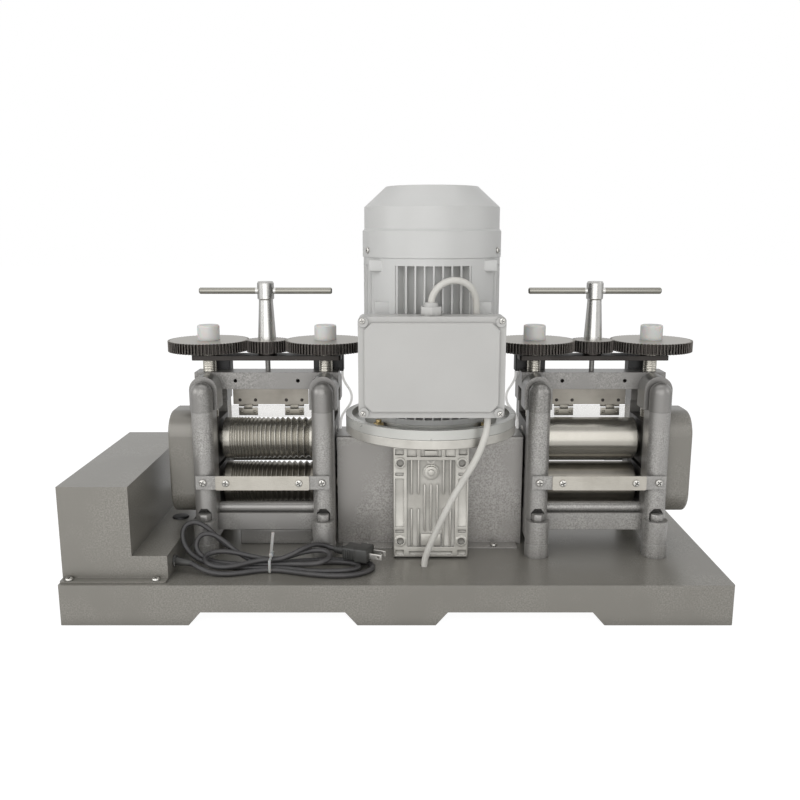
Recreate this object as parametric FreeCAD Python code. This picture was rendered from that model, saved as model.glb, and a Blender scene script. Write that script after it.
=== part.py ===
import FreeCAD, Part
import math
import os

from FreeCAD import Vector

# Electric double-head jewellers rolling mill, in millimetres.
# The origin is the centre of the base's footprint on the bench: +X right, +Y to the rear, +Z up.
# A vertical motor drives a worm gearbox; its cross shaft turns the lower rolls of both heads.

# Base pan
BASE_LENGTH = 728.0
BASE_DEPTH = 300.0
BASE_TOP = 46.0
BASE_SHEET = 3.0
BASE_LIP = 14.0
APRON_RECESS_TOP = 15.0
APRON_RECESS_SPAN = (55.5, 212.0)
APRON_RECESS_FLARE = 14.0
SUPPLY_HOLE = (31.0, -95.0)

# Motor, worm shaft and cross shaft
MOTOR_X = 39.0
MOTOR_Y = -40.0
SHAFT_Z = 117.5
SHAFT_RADIUS = 10.0
ROTOR_RADIUS = 8.0
RUNNING_GAP = 0.05
WHEEL_TEETH = 30
WORM_STARTS = 1

# Gearbox
BOX_HALF_WIDTH = 43.0
BOX_FRONT = -69.0
BOX_TOP = 192.5
BOX_REAR_RADIUS = 50.0

# Motor flanges, body and cowl
FLANGE_RADIUS = 98.0
FLANGE_SPLIT = 203.0
FLANGE_TOP = 213.5
FLANGE_FLOOR = 206.0
FLANGE_BOLT_RADIUS = 83.0
BODY_TOP = 391.0
FIN_TIP_RADIUS = 76.0
BODY_CORE_RADIUS = 64.0
FIN_PITCH = 9.6
FIN_THICKNESS = 2.0
COWL_STEP = 420.0
COWL_SHOULDER = 444.5
COWL_TOP = 466.5
COWL_RADIUS = 77.0
SPIGOT_RADIUS = 74.4

# Heads: one pattern, placed left and right of the motor axis
HEAD_OFFSET = 193.5
COLUMN_X = 69.0
COLUMN_Y = 51.5
COLUMN_RADIUS = 12.5
FOOT_Y = 61.0
FOOT_BOLT_Y = 63.0
FOOT_TOP = 89.0
FRAME_SPLIT = 216.0
CHOCK_HALF_WIDTH = 30.7
WINDOW_HALF_WIDTH = 31.0
FRAME_INNER = 57.0
FRAME_OUTER = 81.0
BEAM_BOTTOM = 235.0
BEAM_TOP = 255.0
BEAM_HALF_LENGTH = 85.0
BEAM_HALF_DEPTH = 14.0
CAP_SPRING = 237.0
ARCH_HALF_WIDTH = 16.0
ARCH_SPRING = 238.8
SWITCH_SEAT = 252.0

# Rolls
ROLL_RADIUS = 25.0
ROLL_HALF_LENGTH = 54.0
JOURNAL_RADIUS = 15.0
ROLL_GAP = 5.0
UPPER_Z = SHAFT_Z + 2 * ROLL_RADIUS + ROLL_GAP
GROOVE_COUNT = 19
GROOVE_FIRST = 1.6
GROOVE_LAST = 6.4
GROOVE_LAND = 0.7
ROLL_GEAR_TEETH = 12
ROLL_GEAR_ROOT = 21.0
ROLL_GEAR_TIP = 28.8

# Screw-down gears, in the plane above the crown
SCREW_MODULE = 1.25
SCREW_TEETH = 74
PINION_TEETH = 37
SCREW_X = SCREW_MODULE * (SCREW_TEETH + PINION_TEETH) / 2
SCREW_RADIUS = 8.0
SCREW_FOOT = 198.6
GEAR_BOTTOM = 280.0
GEAR_TOP = 292.4
BAR_BOTTOM = 269.0
BAR_TOP = 274.5
CAP_TOP = 310.0
HANDLE_Z = 350.0
HANDLE_HALF_LENGTH = 78.0

# Fasteners: every place is (point, outward direction)
SCREW_SHANK = 1.6
FOOT_BOLT_SHANK = 3.3

# Leads
MOTOR_LEAD_DIAMETER = 7.0
SUPPLY_LEAD_DIAMETER = 7.3
SWITCH_LEAD_DIAMETER = 3.0
MAINS_DIAMETER = 5.6

X = Vector(1, 0, 0)
Y = Vector(0, 1, 0)
Z = Vector(0, 0, 1)


def box(x_span, y_span, z_span):
    """A block between three pairs of coordinates, given in either order."""
    low = [min(span) for span in (x_span, y_span, z_span)]
    high = [max(span) for span in (x_span, y_span, z_span)]
    size = [b - a for a, b in zip(low, high)]
    return Part.makeBox(size[0], size[1], size[2], Vector(*low))


def rod(radius, start, end):
    """A round bar between two points."""
    a, b = Vector(*start), Vector(*end)
    return Part.makeCylinder(radius, (b - a).Length, a, b - a)


def taper(radius_a, radius_b, start, end):
    """A cone frustum between two points."""
    a, b = Vector(*start), Vector(*end)
    return Part.makeCone(radius_a, radius_b, (b - a).Length, a, b - a)


def join(shapes):
    """One solid from overlapping shapes."""
    return shapes[0].fuse(shapes[1:]).removeSplitter()


def prism(points, direction):
    """A straight prism on a closed outline."""
    outline = [Vector(*p) for p in points]
    return Part.Face(Part.makePolygon(outline + outline[:1])).extrude(Vector(*direction))


def turned(profile, centre, axis):
    """A solid of revolution; profile is (radius, height) along the axis through centre."""
    side = X if abs(axis.dot(Z)) > 0.5 else Z
    points = [centre + side * r + axis * h for r, h in profile]
    face = Part.Face(Part.makePolygon(points + points[:1]))
    return face.revolve(centre, axis, 360)


def edges_along(shape, direction):
    """The straight edges that run along a direction."""
    found = []
    for edge in shape.Edges:
        if isinstance(edge.Curve, Part.Line) and abs(edge.Curve.Direction.dot(direction)) > 0.999:
            found.append(edge)
    return found


def rounded(shape, radius, direction):
    """The shape with every edge along a direction rounded."""
    return shape.makeFillet(radius, edges_along(shape, direction))


def moved(shapes, x, mirror=False):
    """Copies of head pieces, placed at a head's centre; the right head is the left one mirrored."""
    placed = []
    for shape in shapes:
        piece = shape.mirror(Vector(0, 0, 0), X) if mirror else shape.copy()
        piece.translate(Vector(x, 0, 0))
        placed.append(piece)
    return placed


def save(name, shapes):
    """Write one sub-part; several separate solids may share a node."""
    shape = shapes[0] if len(shapes) == 1 else Part.makeCompound(shapes)
    shape.exportStep("parts/" + name + ".step")


# Outlines and fasteners


def toothed_face(count, root, tip, root_share, tip_share, first_angle):
    """A flat spur-gear outline round the Z axis with straight-flanked teeth."""
    pitch = 2 * math.pi / count
    points = []
    for tooth in range(count):
        middle = first_angle + tooth * pitch
        corners = ((root, -root_share), (tip, -tip_share), (tip, tip_share), (root, root_share))
        for radius, share in corners:
            angle = middle + share * pitch / 2
            points.append(Vector(radius * math.cos(angle), radius * math.sin(angle), 0))
    return Part.Face(Part.makePolygon(points + points[:1]))


def screw_gear_face(count, first_angle):
    """The outline of one screw-down gear."""
    pitch_radius = SCREW_MODULE * count / 2
    root = pitch_radius - 1.2 * SCREW_MODULE
    tip = pitch_radius + SCREW_MODULE
    return toothed_face(count, root, tip, 0.60, 0.22, first_angle)


def pan_head(at, direction, radius=3.6, height=2.6, shank=6.0):
    """A pan-head screw: a domed head outside the surface and a shank behind it."""
    profile = [(0, height), (0.55 * radius, height), (radius, 0.45 * height), (radius, 0),
               (SCREW_SHANK, 0), (SCREW_SHANK, -shank), (0, -shank)]
    return turned(profile, Vector(*at), Vector(*direction))


def hexagon_bolt(at, across_flats, height, shank, shank_radius):
    """A hexagon bolt standing on Z, its head above the point and its shank below."""
    radius = across_flats / math.sqrt(3)
    corners = [(at[0] + radius * math.cos(k * math.pi / 3),
                at[1] + radius * math.sin(k * math.pi / 3), at[2]) for k in range(6)]
    head = prism(corners, (0, 0, height))
    body = rod(shank_radius, (at[0], at[1], at[2] - shank), at)
    return head.fuse(body)


def tube(points, diameter, name):
    """A lead of straight runs and tangent arcs through hand-chosen points."""
    nodes = [Vector(*p) for p in points]
    runs = [nodes[k + 1] - nodes[k] for k in range(len(nodes) - 1)]
    edges = []
    radii = []
    here = nodes[0]
    for k in range(1, len(nodes) - 1):
        before, after = runs[k - 1], runs[k]
        turn = before.getAngle(after)
        radius = 0.45 * min(before.Length, after.Length) / math.tan(turn / 2)
        setback = radius * math.tan(turn / 2)
        radii.append(radius)
        u = Vector(before).normalize()
        v = Vector(after).normalize()
        enter = nodes[k] - u * setback
        leave = nodes[k] + v * setback
        inward = (v - u).normalize()
        middle = nodes[k] + inward * (radius / math.cos(turn / 2) - radius)
        edges.append(Part.LineSegment(here, enter).toShape())
        edges.append(Part.Arc(enter, middle, leave).toShape())
        here = leave
    edges.append(Part.LineSegment(here, nodes[-1]).toShape())
    path = Part.Wire(edges)
    ring = Part.Wire(Part.makeCircle(diameter / 2, nodes[0], runs[0]))
    solid = path.makePipeShell([ring], True, False)
    ideal = math.pi * diameter ** 2 / 4 * path.Length
    print(name, "length", round(path.Length, 1), "least radius", round(min(radii), 1),
          "volume ratio", round(solid.Volume / ideal, 4))
    return solid


def screw_holes(places):
    """Clearance bores for pan-head screws: a list of (point, outward direction)."""
    bores = []
    for at, direction in places:
        axis = Vector(*direction)
        start = Vector(*at) + axis * 4
        bores.append(Part.makeCylinder(SCREW_SHANK + 0.15, 12, start, axis * -1))
    return bores


def screws(places, radius=3.6, height=2.6, shank=6.0):
    """Pan-head screws seated at a list of (point, outward direction)."""
    return [pan_head(at, direction, radius, height, shank) for at, direction in places]


# Base and sheet-metal covers


def base_pan():
    half_x, half_y = BASE_LENGTH / 2, BASE_DEPTH / 2
    outer = rounded(box((-half_x, half_x), (-half_y, half_y), (0, BASE_TOP)), 2.0, Z)
    inner_x, inner_y = half_x - BASE_SHEET, half_y - BASE_SHEET
    inside = box((-inner_x, inner_x), (-inner_y, inner_y), (BASE_SHEET, BASE_TOP - BASE_SHEET))
    lip_x, lip_y = half_x - BASE_LIP, half_y - BASE_LIP
    mouth = box((-lip_x, lip_x), (-lip_y, lip_y), (-1, BASE_SHEET + 1))
    pan = outer.cut([inside, mouth])
    near, far = APRON_RECESS_SPAN
    for side in (-1, 1):
        outline = [(side * (near - APRON_RECESS_FLARE), -half_y - 1, -1),
                   (side * near, -half_y - 1, APRON_RECESS_TOP),
                   (side * far, -half_y - 1, APRON_RECESS_TOP),
                   (side * (far + APRON_RECESS_FLARE), -half_y - 1, -1)]
        pan = pan.cut(prism(outline, (0, BASE_DEPTH + 2, 0)))
    hole_x, hole_y = SUPPLY_HOLE
    holes = [rod(4.6, (hole_x, hole_y, 40), (hole_x, hole_y, 50))]
    holes += [rod(FOOT_BOLT_SHANK + 0.2, (x, y, 40), (x, y, 50)) for x, y in foot_bolt_places()]
    return pan.cut(holes + screw_holes(COVER_SCREWS))


STEP_LEFT = -364.0
STEP_RISER = -287.5
STEP_RIGHT = -249.0
STEP_FRONT = -134.0
STEP_REAR = 118.0
STEP_TREAD = 73.0
STEP_TOP = 151.0
STEP_LIP_Y = -145.0
STEP_SHEET = 2.0
COVER_LIP_Y = -42.5
LIP_TOP = BASE_TOP + STEP_SHEET
COVER_SCREWS = [((x, STEP_LIP_Y + 5.5, LIP_TOP), (0, 0, 1)) for x in (-355.0, -261.0)]
COVER_SCREWS += [((MOTOR_X + side * 77, COVER_LIP_Y + 7, LIP_TOP), (0, 0, 1)) for side in (-1, 1)]
MAINS_EXIT = (-110.0, 58.0)


def step_profile(inset):
    """The cover's L-shaped front outline, drawn in by a sheet thickness or not at all."""
    return [(STEP_LEFT + inset, STEP_FRONT + inset, BASE_TOP),
            (STEP_RIGHT - inset, STEP_FRONT + inset, BASE_TOP),
            (STEP_RIGHT - inset, STEP_FRONT + inset, STEP_TREAD - inset),
            (STEP_RISER - inset, STEP_FRONT + inset, STEP_TREAD - inset),
            (STEP_RISER - inset, STEP_FRONT + inset, STEP_TOP - inset),
            (STEP_LEFT + inset, STEP_FRONT + inset, STEP_TOP - inset)]


def step_cover():
    """Folded cover over the mains switchgear, with a screwed lip along its front."""
    depth = STEP_REAR - STEP_FRONT
    outer = prism(step_profile(0), (0, depth, 0))
    inner = prism(step_profile(STEP_SHEET), (0, depth - 2 * STEP_SHEET, 0))
    lip = box((STEP_LEFT, STEP_RIGHT), (STEP_LIP_Y, STEP_FRONT), (BASE_TOP, LIP_TOP))
    lip = lip.makeFillet(3.0, [e for e in edges_along(lip, Z) if e.Vertexes[0].Y < STEP_FRONT - 1])
    y, z = MAINS_EXIT
    exit_hole = rod(4.0, (STEP_RIGHT - 5, y, z), (STEP_RIGHT + 5, y, z))
    return outer.cut(inner).fuse(lip).cut([exit_hole] + screw_holes(COVER_SCREWS))


def mains_grommet():
    """The bush in the step cover's side wall that the mains lead leaves through."""
    y, z = MAINS_EXIT
    flange = rod(6.0, (STEP_RIGHT, y, z), (STEP_RIGHT + 2.0, y, z))
    neck = rod(4.0, (STEP_RIGHT - STEP_SHEET, y, z), (STEP_RIGHT, y, z))
    return flange.fuse(neck)


COVER_FRONT = -24.4
COVER_REAR = 30.0
COVER_TOP = 180.0
COVER_SHEET = 2.0
COVER_SPAN = (43.5, 110.5)


def coupling_covers():
    """Two inverted channels over the shaft couplings, each with a screwed lip."""
    covers = []
    for side in (-1, 1):
        span = [MOTOR_X + side * s for s in COVER_SPAN]
        outer = box(span, (COVER_FRONT, COVER_REAR), (BASE_TOP, COVER_TOP))
        outer = outer.makeFillet(3.0, top_edges_along_x(outer, COVER_TOP))
        inner = box((span[0] - 1, span[1] + 1) if side > 0 else (span[0] + 1, span[1] - 1),
                    (COVER_FRONT + COVER_SHEET, COVER_REAR - COVER_SHEET),
                    (BASE_TOP - 1, COVER_TOP - COVER_SHEET))
        lip_span = (MOTOR_X + side * (COVER_SPAN[0] + 1), MOTOR_X + side * (COVER_SPAN[1] - 6))
        lip = box(lip_span, (COVER_LIP_Y, COVER_FRONT), (BASE_TOP, LIP_TOP))
        covers.append(outer.cut(inner).fuse(lip).cut(screw_holes(COVER_SCREWS)))
    return covers


def top_edges_along_x(shape, height):
    """The long upper edges of a cover."""
    return [e for e in edges_along(shape, X) if abs(e.Vertexes[0].Z - height) < 0.01]


# Gearbox, flanges and motor


def gearbox_housing():
    """Ribbed light-alloy worm gearbox with corner pads, an oil-plug boss and open bores."""
    low_x, high_x = MOTOR_X - BOX_HALF_WIDTH, MOTOR_X + BOX_HALF_WIDTH
    front = box((low_x, high_x), (BOX_FRONT, 2), (BASE_TOP, BOX_TOP))
    barrel = rod(BOX_REAR_RADIUS, (low_x, 0, SHAFT_Z), (high_x, 0, SHAFT_Z))
    foot = box((low_x, high_x), (0, 44), (BASE_TOP, 78))
    housing = join([front, barrel, foot])
    housing = housing.cut(gearbox_face_pockets())
    housing = join([housing] + gearbox_ribs())
    wheel_room = rod(34, (MOTOR_X - 25, 0, SHAFT_Z), (MOTOR_X + 25, 0, SHAFT_Z))
    worm_room = rod(14, (MOTOR_X, MOTOR_Y, 80), (MOTOR_X, MOTOR_Y, 165))
    shaft_bore = rod(SHAFT_RADIUS + RUNNING_GAP, (low_x - 1, 0, SHAFT_Z), (high_x + 1, 0, SHAFT_Z))
    worm_bore = rod(ROTOR_RADIUS + RUNNING_GAP, (MOTOR_X, MOTOR_Y, 58),
                    (MOTOR_X, MOTOR_Y, BOX_TOP + 1))
    housing = housing.cut([wheel_room, worm_room, shaft_bore, worm_bore])
    holes = [rod(4.2, (MOTOR_X + side * 35.2, BOX_FRONT - 1, z),
                 (MOTOR_X + side * 35.2, BOX_FRONT + 14, z))
             for side in (-1, 1) for z in (68.7, 174.8)]
    return housing.cut(holes)


def gearbox_face_pockets():
    """The sunk field of the front face, its side panels and the slot between the feet."""
    field = box((MOTOR_X - 28, MOTOR_X + 28), (BOX_FRONT - 1, BOX_FRONT + 6), (63, 180))
    slot = box((MOTOR_X - 28, MOTOR_X + 28), (BOX_FRONT - 1, BOX_FRONT + 20), (45, 48.5))
    panels = [box((MOTOR_X + side * 31, MOTOR_X + side * 41.5), (BOX_FRONT - 1, BOX_FRONT + 1.6),
                  (86, 157)) for side in (-1, 1)]
    flanks = [box((MOTOR_X + side * 42, MOTOR_X + side * 44), (BOX_FRONT - 1, -12), (86, 157))
              for side in (-1, 1)]
    return [field, slot] + panels + flanks


def gearbox_ribs():
    """Upright ribs of the sunk field, the plug boss and the swell over the wheel."""
    ribs = []
    root = BOX_FRONT + 6.5
    for offset in (-22.6, -15.0, 15.0, 22.6):
        for low, high in ((62, 112), (132, 181)):
            ribs.append(box((MOTOR_X + offset - 0.9, MOTOR_X + offset + 0.9),
                            (BOX_FRONT + 0.6, root), (low, high)))
    for offset in (-7.4, 0.0, 7.4):
        ribs.append(box((MOTOR_X + offset - 0.9, MOTOR_X + offset + 0.9),
                        (BOX_FRONT + 0.6, root), (80, 146)))
    ribs.append(box((MOTOR_X - 12, MOTOR_X + 12), (BOX_FRONT + 2, root), (62, 80)))
    ribs.append(rod(9.0, (MOTOR_X, root, 163), (MOTOR_X, BOX_FRONT + 1.5, 163)))
    return ribs


def oil_plug():
    """Round plug with a hexagon socket, screwed in the boss."""
    y = BOX_FRONT + 1.5
    plug = rod(5.4, (MOTOR_X, y - 2.6, 163), (MOTOR_X, y, 163))
    corners = [(MOTOR_X + 2.6 * math.cos(k * math.pi / 3), y - 3, 163 + 2.6 * math.sin(k * math.pi / 3))
               for k in range(6)]
    return plug.cut(prism(corners, (0, 2.2, 0)))


def input_flange():
    """The gearbox's round motor flange."""
    profile = [(ROTOR_RADIUS + 2, BOX_TOP), (FLANGE_RADIUS - 1, BOX_TOP), (FLANGE_RADIUS, BOX_TOP + 1),
               (FLANGE_RADIUS, FLANGE_SPLIT - 0.6), (FLANGE_RADIUS - 0.6, FLANGE_SPLIT),
               (ROTOR_RADIUS + 2, FLANGE_SPLIT)]
    disc = turned(profile, Vector(MOTOR_X, MOTOR_Y, 0), Z)
    return disc.cut(flange_holes(BOX_TOP - 1, FLANGE_SPLIT + 1, 4.5))


def flange_holes(low, high, radius):
    """The four bolt holes of both flanges."""
    reach = FLANGE_BOLT_RADIUS / math.sqrt(2)
    return [rod(radius, (MOTOR_X + sx * reach, MOTOR_Y + sy * reach, low),
                (MOTOR_X + sx * reach, MOTOR_Y + sy * reach, high))
            for sx in (-1, 1) for sy in (-1, 1)]


def motor_flange():
    """The motor's end plate: a dished flange with a raised rim, bored for the shaft."""
    profile = [(ROTOR_RADIUS + 2, FLANGE_SPLIT), (FLANGE_RADIUS, FLANGE_SPLIT),
               (FLANGE_RADIUS, FLANGE_TOP), (91, FLANGE_TOP), (90, FLANGE_FLOOR),
               (76, FLANGE_FLOOR), (75.4, FLANGE_TOP), (ROTOR_RADIUS + 2, FLANGE_TOP)]
    plate = turned(profile, Vector(MOTOR_X, MOTOR_Y, 0), Z)
    return plate.cut(flange_holes(FLANGE_SPLIT - 1, FLANGE_FLOOR + 1, 4.5))


def flange_bolts():
    reach = FLANGE_BOLT_RADIUS / math.sqrt(2)
    return [hexagon_bolt((MOTOR_X + sx * reach, MOTOR_Y + sy * reach, FLANGE_FLOOR), 11.0, 5.0, 12.0, 3.5)
            for sx in (-1, 1) for sy in (-1, 1)]


def motor_housing():
    """Finned motor body: a round core, straight fins on four sides and corner lugs."""
    axis = Vector(MOTOR_X, MOTOR_Y, 0)
    height = BODY_TOP - FLANGE_TOP
    core = Part.makeCylinder(BODY_CORE_RADIUS, height, Vector(MOTOR_X, MOTOR_Y, FLANGE_TOP))
    low, high = FLANGE_TOP + 6, BODY_TOP - 8
    blades = []
    for quarter in range(4):
        for k in range(-4, 5):
            fin = box((MOTOR_X + k * FIN_PITCH - FIN_THICKNESS / 2,
                       MOTOR_X + k * FIN_PITCH + FIN_THICKNESS / 2),
                      (MOTOR_Y - 80, MOTOR_Y - 40), (low, high))
            fin.rotate(axis, Z, 90 * quarter)
            blades.append(fin)
        lug = box((MOTOR_X - 17, MOTOR_X + 17), (MOTOR_Y - 80, MOTOR_Y - 50), (low - 2, high + 2))
        lug.rotate(axis, Z, 45 + 90 * quarter)
        blades.append(lug)
    envelope = Part.makeCylinder(FIN_TIP_RADIUS, height, Vector(MOTOR_X, MOTOR_Y, FLANGE_TOP))
    fins = Part.makeCompound(blades).common(envelope)
    crown_ring = Part.makeCylinder(FIN_TIP_RADIUS, 8, Vector(MOTOR_X, MOTOR_Y, high))
    spigot = turned([(66, high), (SPIGOT_RADIUS, high), (SPIGOT_RADIUS, BODY_TOP + 12), (66, BODY_TOP + 12)],
                    Vector(MOTOR_X, MOTOR_Y, 0), Z)
    foot_ring = Part.makeCylinder(FIN_TIP_RADIUS - 1.5, 6, Vector(MOTOR_X, MOTOR_Y, FLANGE_TOP))
    body = join([core, crown_ring, spigot, foot_ring] + fins.Solids + motor_pads())
    stator_room = Part.makeCylinder(58, height - 16, Vector(MOTOR_X, MOTOR_Y, FLANGE_TOP + 8))
    bore = Part.makeCylinder(ROTOR_RADIUS + RUNNING_GAP, height + 2,
                             Vector(MOTOR_X, MOTOR_Y, FLANGE_TOP - 1))
    return body.cut([stator_room, bore] + screw_holes(cowl_screw_places()))


def motor_pads():
    """The pad that carries the control box, the foot pads and the lead's entry boss."""
    front = box((MOTOR_X - 36, MOTOR_X + 36), (-116.5, -92), (240, 322))
    entry = box((MOTOR_X + 30, MOTOR_X + 55), (-116.5, -88), (262, 296))
    feet = [box((MOTOR_X + side * 41, MOTOR_X + side * 62), (-100, -84), (225, 345))
            for side in (-1, 1)]
    return [front, entry] + feet


def stator():
    """Laminated stator ring round the rotor."""
    low, high = FLANGE_TOP + 20, BODY_TOP - 26
    ring = Part.makeCylinder(58, high - low, Vector(MOTOR_X, MOTOR_Y, low))
    return ring.cut(Part.makeCylinder(38, high - low + 2, Vector(MOTOR_X, MOTOR_Y, low - 1)))


def fan_cowl():
    """Pressed cowl over the fan: a wide skirt, a narrower drum and a conical top."""
    wall = 2.5
    outer = [(0, COWL_TOP), (51, COWL_TOP), (75, COWL_SHOULDER), (75, COWL_STEP + 1.2),
             (COWL_RADIUS, COWL_STEP - 1.2), (COWL_RADIUS, BODY_TOP)]
    inner = [(COWL_RADIUS - wall, BODY_TOP), (COWL_RADIUS - wall, COWL_STEP - 2.4),
             (75 - wall, COWL_STEP), (75 - wall, COWL_SHOULDER - 1), (50, COWL_TOP - wall),
             (0, COWL_TOP - wall)]
    shell = turned(outer + inner, Vector(MOTOR_X, MOTOR_Y, 0), Z)
    return shell.cut(cowl_inlet() + screw_holes(cowl_screw_places()))


def cowl_inlet():
    """Concentric air slots in the cowl's flat top, parted by six spokes."""
    slots = []
    for inner, outer in ((14, 22), (28, 36), (42, 47)):
        low, high = COWL_TOP - 4, COWL_TOP + 1
        ring = turned([(inner, low), (outer, low), (outer, high), (inner, high)],
                      Vector(MOTOR_X, MOTOR_Y, 0), Z)
        for k in range(3):
            spoke = box((MOTOR_X - 60, MOTOR_X + 60), (MOTOR_Y - 3, MOTOR_Y + 3), (low - 2, high + 1))
            spoke.rotate(Vector(MOTOR_X, MOTOR_Y, 0), Z, 60 * k)
            ring = ring.cut(spoke)
        slots.append(ring)
    return slots


def cowl_screw_places():
    """Four places round the cowl's skirt."""
    places = []
    for degrees in (25, 155, 205, 335):
        angle = math.radians(degrees)
        out = (math.cos(angle), math.sin(angle), 0)
        places.append(((MOTOR_X + out[0] * COWL_RADIUS, MOTOR_Y + out[1] * COWL_RADIUS, 398.5), out))
    return places


def cooling_fan():
    """Radial fan on the rotor's upper end."""
    hub = Part.makeCylinder(14, 24, Vector(MOTOR_X, MOTOR_Y, 396))
    plate = Part.makeCylinder(60, 2, Vector(MOTOR_X, MOTOR_Y, 398))
    blades = []
    for k in range(7):
        blade = box((MOTOR_X + 10, MOTOR_X + 60), (MOTOR_Y - 1, MOTOR_Y + 1), (399, 418))
        blade.rotate(Vector(MOTOR_X, MOTOR_Y, 0), Z, k * 360 / 7)
        blades.append(blade)
    fan = join([hub, plate] + blades)
    return fan.cut(Part.makeCylinder(ROTOR_RADIUS, 40, Vector(MOTOR_X, MOTOR_Y, 390)))


def rotor_shaft():
    """Motor shaft with its rotor core and, at the lower end, the ridged worm."""
    shaft = rod(ROTOR_RADIUS, (MOTOR_X, MOTOR_Y, 60), (MOTOR_X, MOTOR_Y, 419))
    core = rod(36, (MOTOR_X, MOTOR_Y, 240), (MOTOR_X, MOTOR_Y, 358))
    ridges = []
    for k in range(-3, 4):
        z = SHAFT_Z + k * 6.28
        ridges.append(turned([(7, z - 2.2), (9.5, z - 0.9), (9.5, z + 0.9), (7, z + 2.2)],
                             Vector(MOTOR_X, MOTOR_Y, 0), Z))
    return join([shaft, core] + ridges)


def worm_wheel():
    """Bronze wheel on the cross shaft."""
    face = toothed_face(WHEEL_TEETH, 27.0, 30.0, 0.6, 0.25, 0.0)
    wheel = face.extrude(Vector(0, 0, 22))
    wheel.translate(Vector(0, 0, -11))
    wheel.rotate(Vector(0, 0, 0), Y, 90)
    wheel.translate(Vector(MOTOR_X, 0, SHAFT_Z))
    return wheel.cut(rod(SHAFT_RADIUS, (MOTOR_X - 20, 0, SHAFT_Z), (MOTOR_X + 20, 0, SHAFT_Z)))


def cross_shaft():
    return rod(SHAFT_RADIUS, (MOTOR_X - 88, 0, SHAFT_Z), (MOTOR_X + 88, 0, SHAFT_Z))


def shaft_couplings():
    """Two sleeves that join the cross shaft to the lower rolls' stub ends."""
    sleeves = []
    for side in (-1, 1):
        near, far = MOTOR_X + side * 72, MOTOR_X + side * 106
        sleeve = rod(19, (near, 0, SHAFT_Z), (far, 0, SHAFT_Z))
        room = rod(SHAFT_RADIUS, (near - side, 0, SHAFT_Z), (MOTOR_X + side * 88, 0, SHAFT_Z))
        stub = rod(12, (MOTOR_X + side * 88, 0, SHAFT_Z), (far + side, 0, SHAFT_Z))
        sleeves.append(sleeve.cut([room, stub]))
    return sleeves


# Control box

CONTROL_X = (-39.0, 112.0)
CONTROL_Z = (229.0, 334.0)
CONTROL_FRONT = -148.0
CONTROL_REAR = -116.5
LID_DEPTH = 9.0


def control_box():
    """Moulded box on the motor's front pad, open towards its lid."""
    body = box(CONTROL_X, (CONTROL_FRONT + LID_DEPTH, CONTROL_REAR), CONTROL_Z)
    body = rounded(body, 5.0, Y)
    room = box((CONTROL_X[0] + 3, CONTROL_X[1] - 3), (CONTROL_FRONT + LID_DEPTH - 1, CONTROL_REAR - 3),
               (CONTROL_Z[0] + 3, CONTROL_Z[1] - 3))
    corners = [rod(6.5, (x, CONTROL_FRONT + LID_DEPTH, z), (x, CONTROL_REAR - 2, z))
               for x, z in lid_corners()]
    posts = [c.common(body) for c in corners]
    return join([body.cut(room)] + posts).cut(screw_holes(lid_screw_places()))


def lid_corners():
    """The centres of the lid's four screws, seen from the front."""
    return [(x, z) for x in (CONTROL_X[0] + 5.5, CONTROL_X[1] - 5.5)
            for z in (CONTROL_Z[0] + 5.5, CONTROL_Z[1] - 5.5)]


def lid_screw_places():
    return [((x, CONTROL_FRONT + 1.2, z), (0, -1, 0)) for x, z in lid_corners()]


def control_box_lid():
    """Lid with a raised field whose corners give way to round screw seats."""
    rim = box(CONTROL_X, (CONTROL_FRONT + 3, CONTROL_FRONT + LID_DEPTH), CONTROL_Z)
    rim = rounded(rim, 5.0, Y)
    low_x, high_x = CONTROL_X[0] + 6, CONTROL_X[1] - 6
    low_z, high_z = CONTROL_Z[0] + 6, CONTROL_Z[1] - 6
    cut = 8.0
    outline = [(low_x + cut, low_z), (high_x - cut, low_z), (high_x, low_z + cut),
               (high_x, high_z - cut), (high_x - cut, high_z), (low_x + cut, high_z),
               (low_x, high_z - cut), (low_x, low_z + cut)]
    field = prism([(x, CONTROL_FRONT, z) for x, z in outline], (0, 4, 0))
    front_edges = [e for e in field.Edges
                   if all(abs(v.Y - CONTROL_FRONT) < 0.01 for v in e.Vertexes)]
    field = field.makeChamfer(1.2, front_edges)
    seats = [rod(5.2, (x, CONTROL_FRONT + 1.2, z), (x, CONTROL_FRONT + 4, z)) for x, z in lid_corners()]
    seats = [s.common(box(CONTROL_X, (-160, -100), CONTROL_Z)) for s in seats]
    return join([rim, field] + seats).cut(screw_holes(lid_screw_places()))


GLAND = (36.0, -128.0)


def cable_glands():
    """The dome-nut gland on the box, the entry gland on the motor and the bush under the box."""
    x, y = GLAND
    foot = rod(10.5, (x, y, CONTROL_Z[1]), (x, y, CONTROL_Z[1] + 5))
    dome = taper(9.5, 6.0, (x, y, CONTROL_Z[1] + 5), (x, y, CONTROL_Z[1] + 13))
    bore = rod(MOTOR_LEAD_DIAMETER / 2 + RUNNING_GAP, (x, y, CONTROL_Z[1]), (x, y, CONTROL_Z[1] + 14))
    entry = rod(6.0, (84.5, -108.6, 296), (84.5, -108.6, 310))
    bush = rod(5.5, (96, -130, CONTROL_Z[0] - 2.5), (96, -130, CONTROL_Z[0]))
    return [foot.fuse(dome).cut(bore), entry, bush]


# Heads, modelled for the left head about its own centre plane; the outer end is at -X

STRAP_Z = (126.5, 143.3)
STRAP_SEAT = -63.6
STRAP_BACK = -66.1
STRAP_FRONT = -67.6
STRAP_SCREWS = [((side * 42.0, STRAP_FRONT, 135.0), (0, -1, 0)) for side in (-1, 1)]
STRAP_SCREWS += [((side * 68.5, STRAP_BACK, 135.0), (0, -1, 0)) for side in (-1, 1)]


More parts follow.
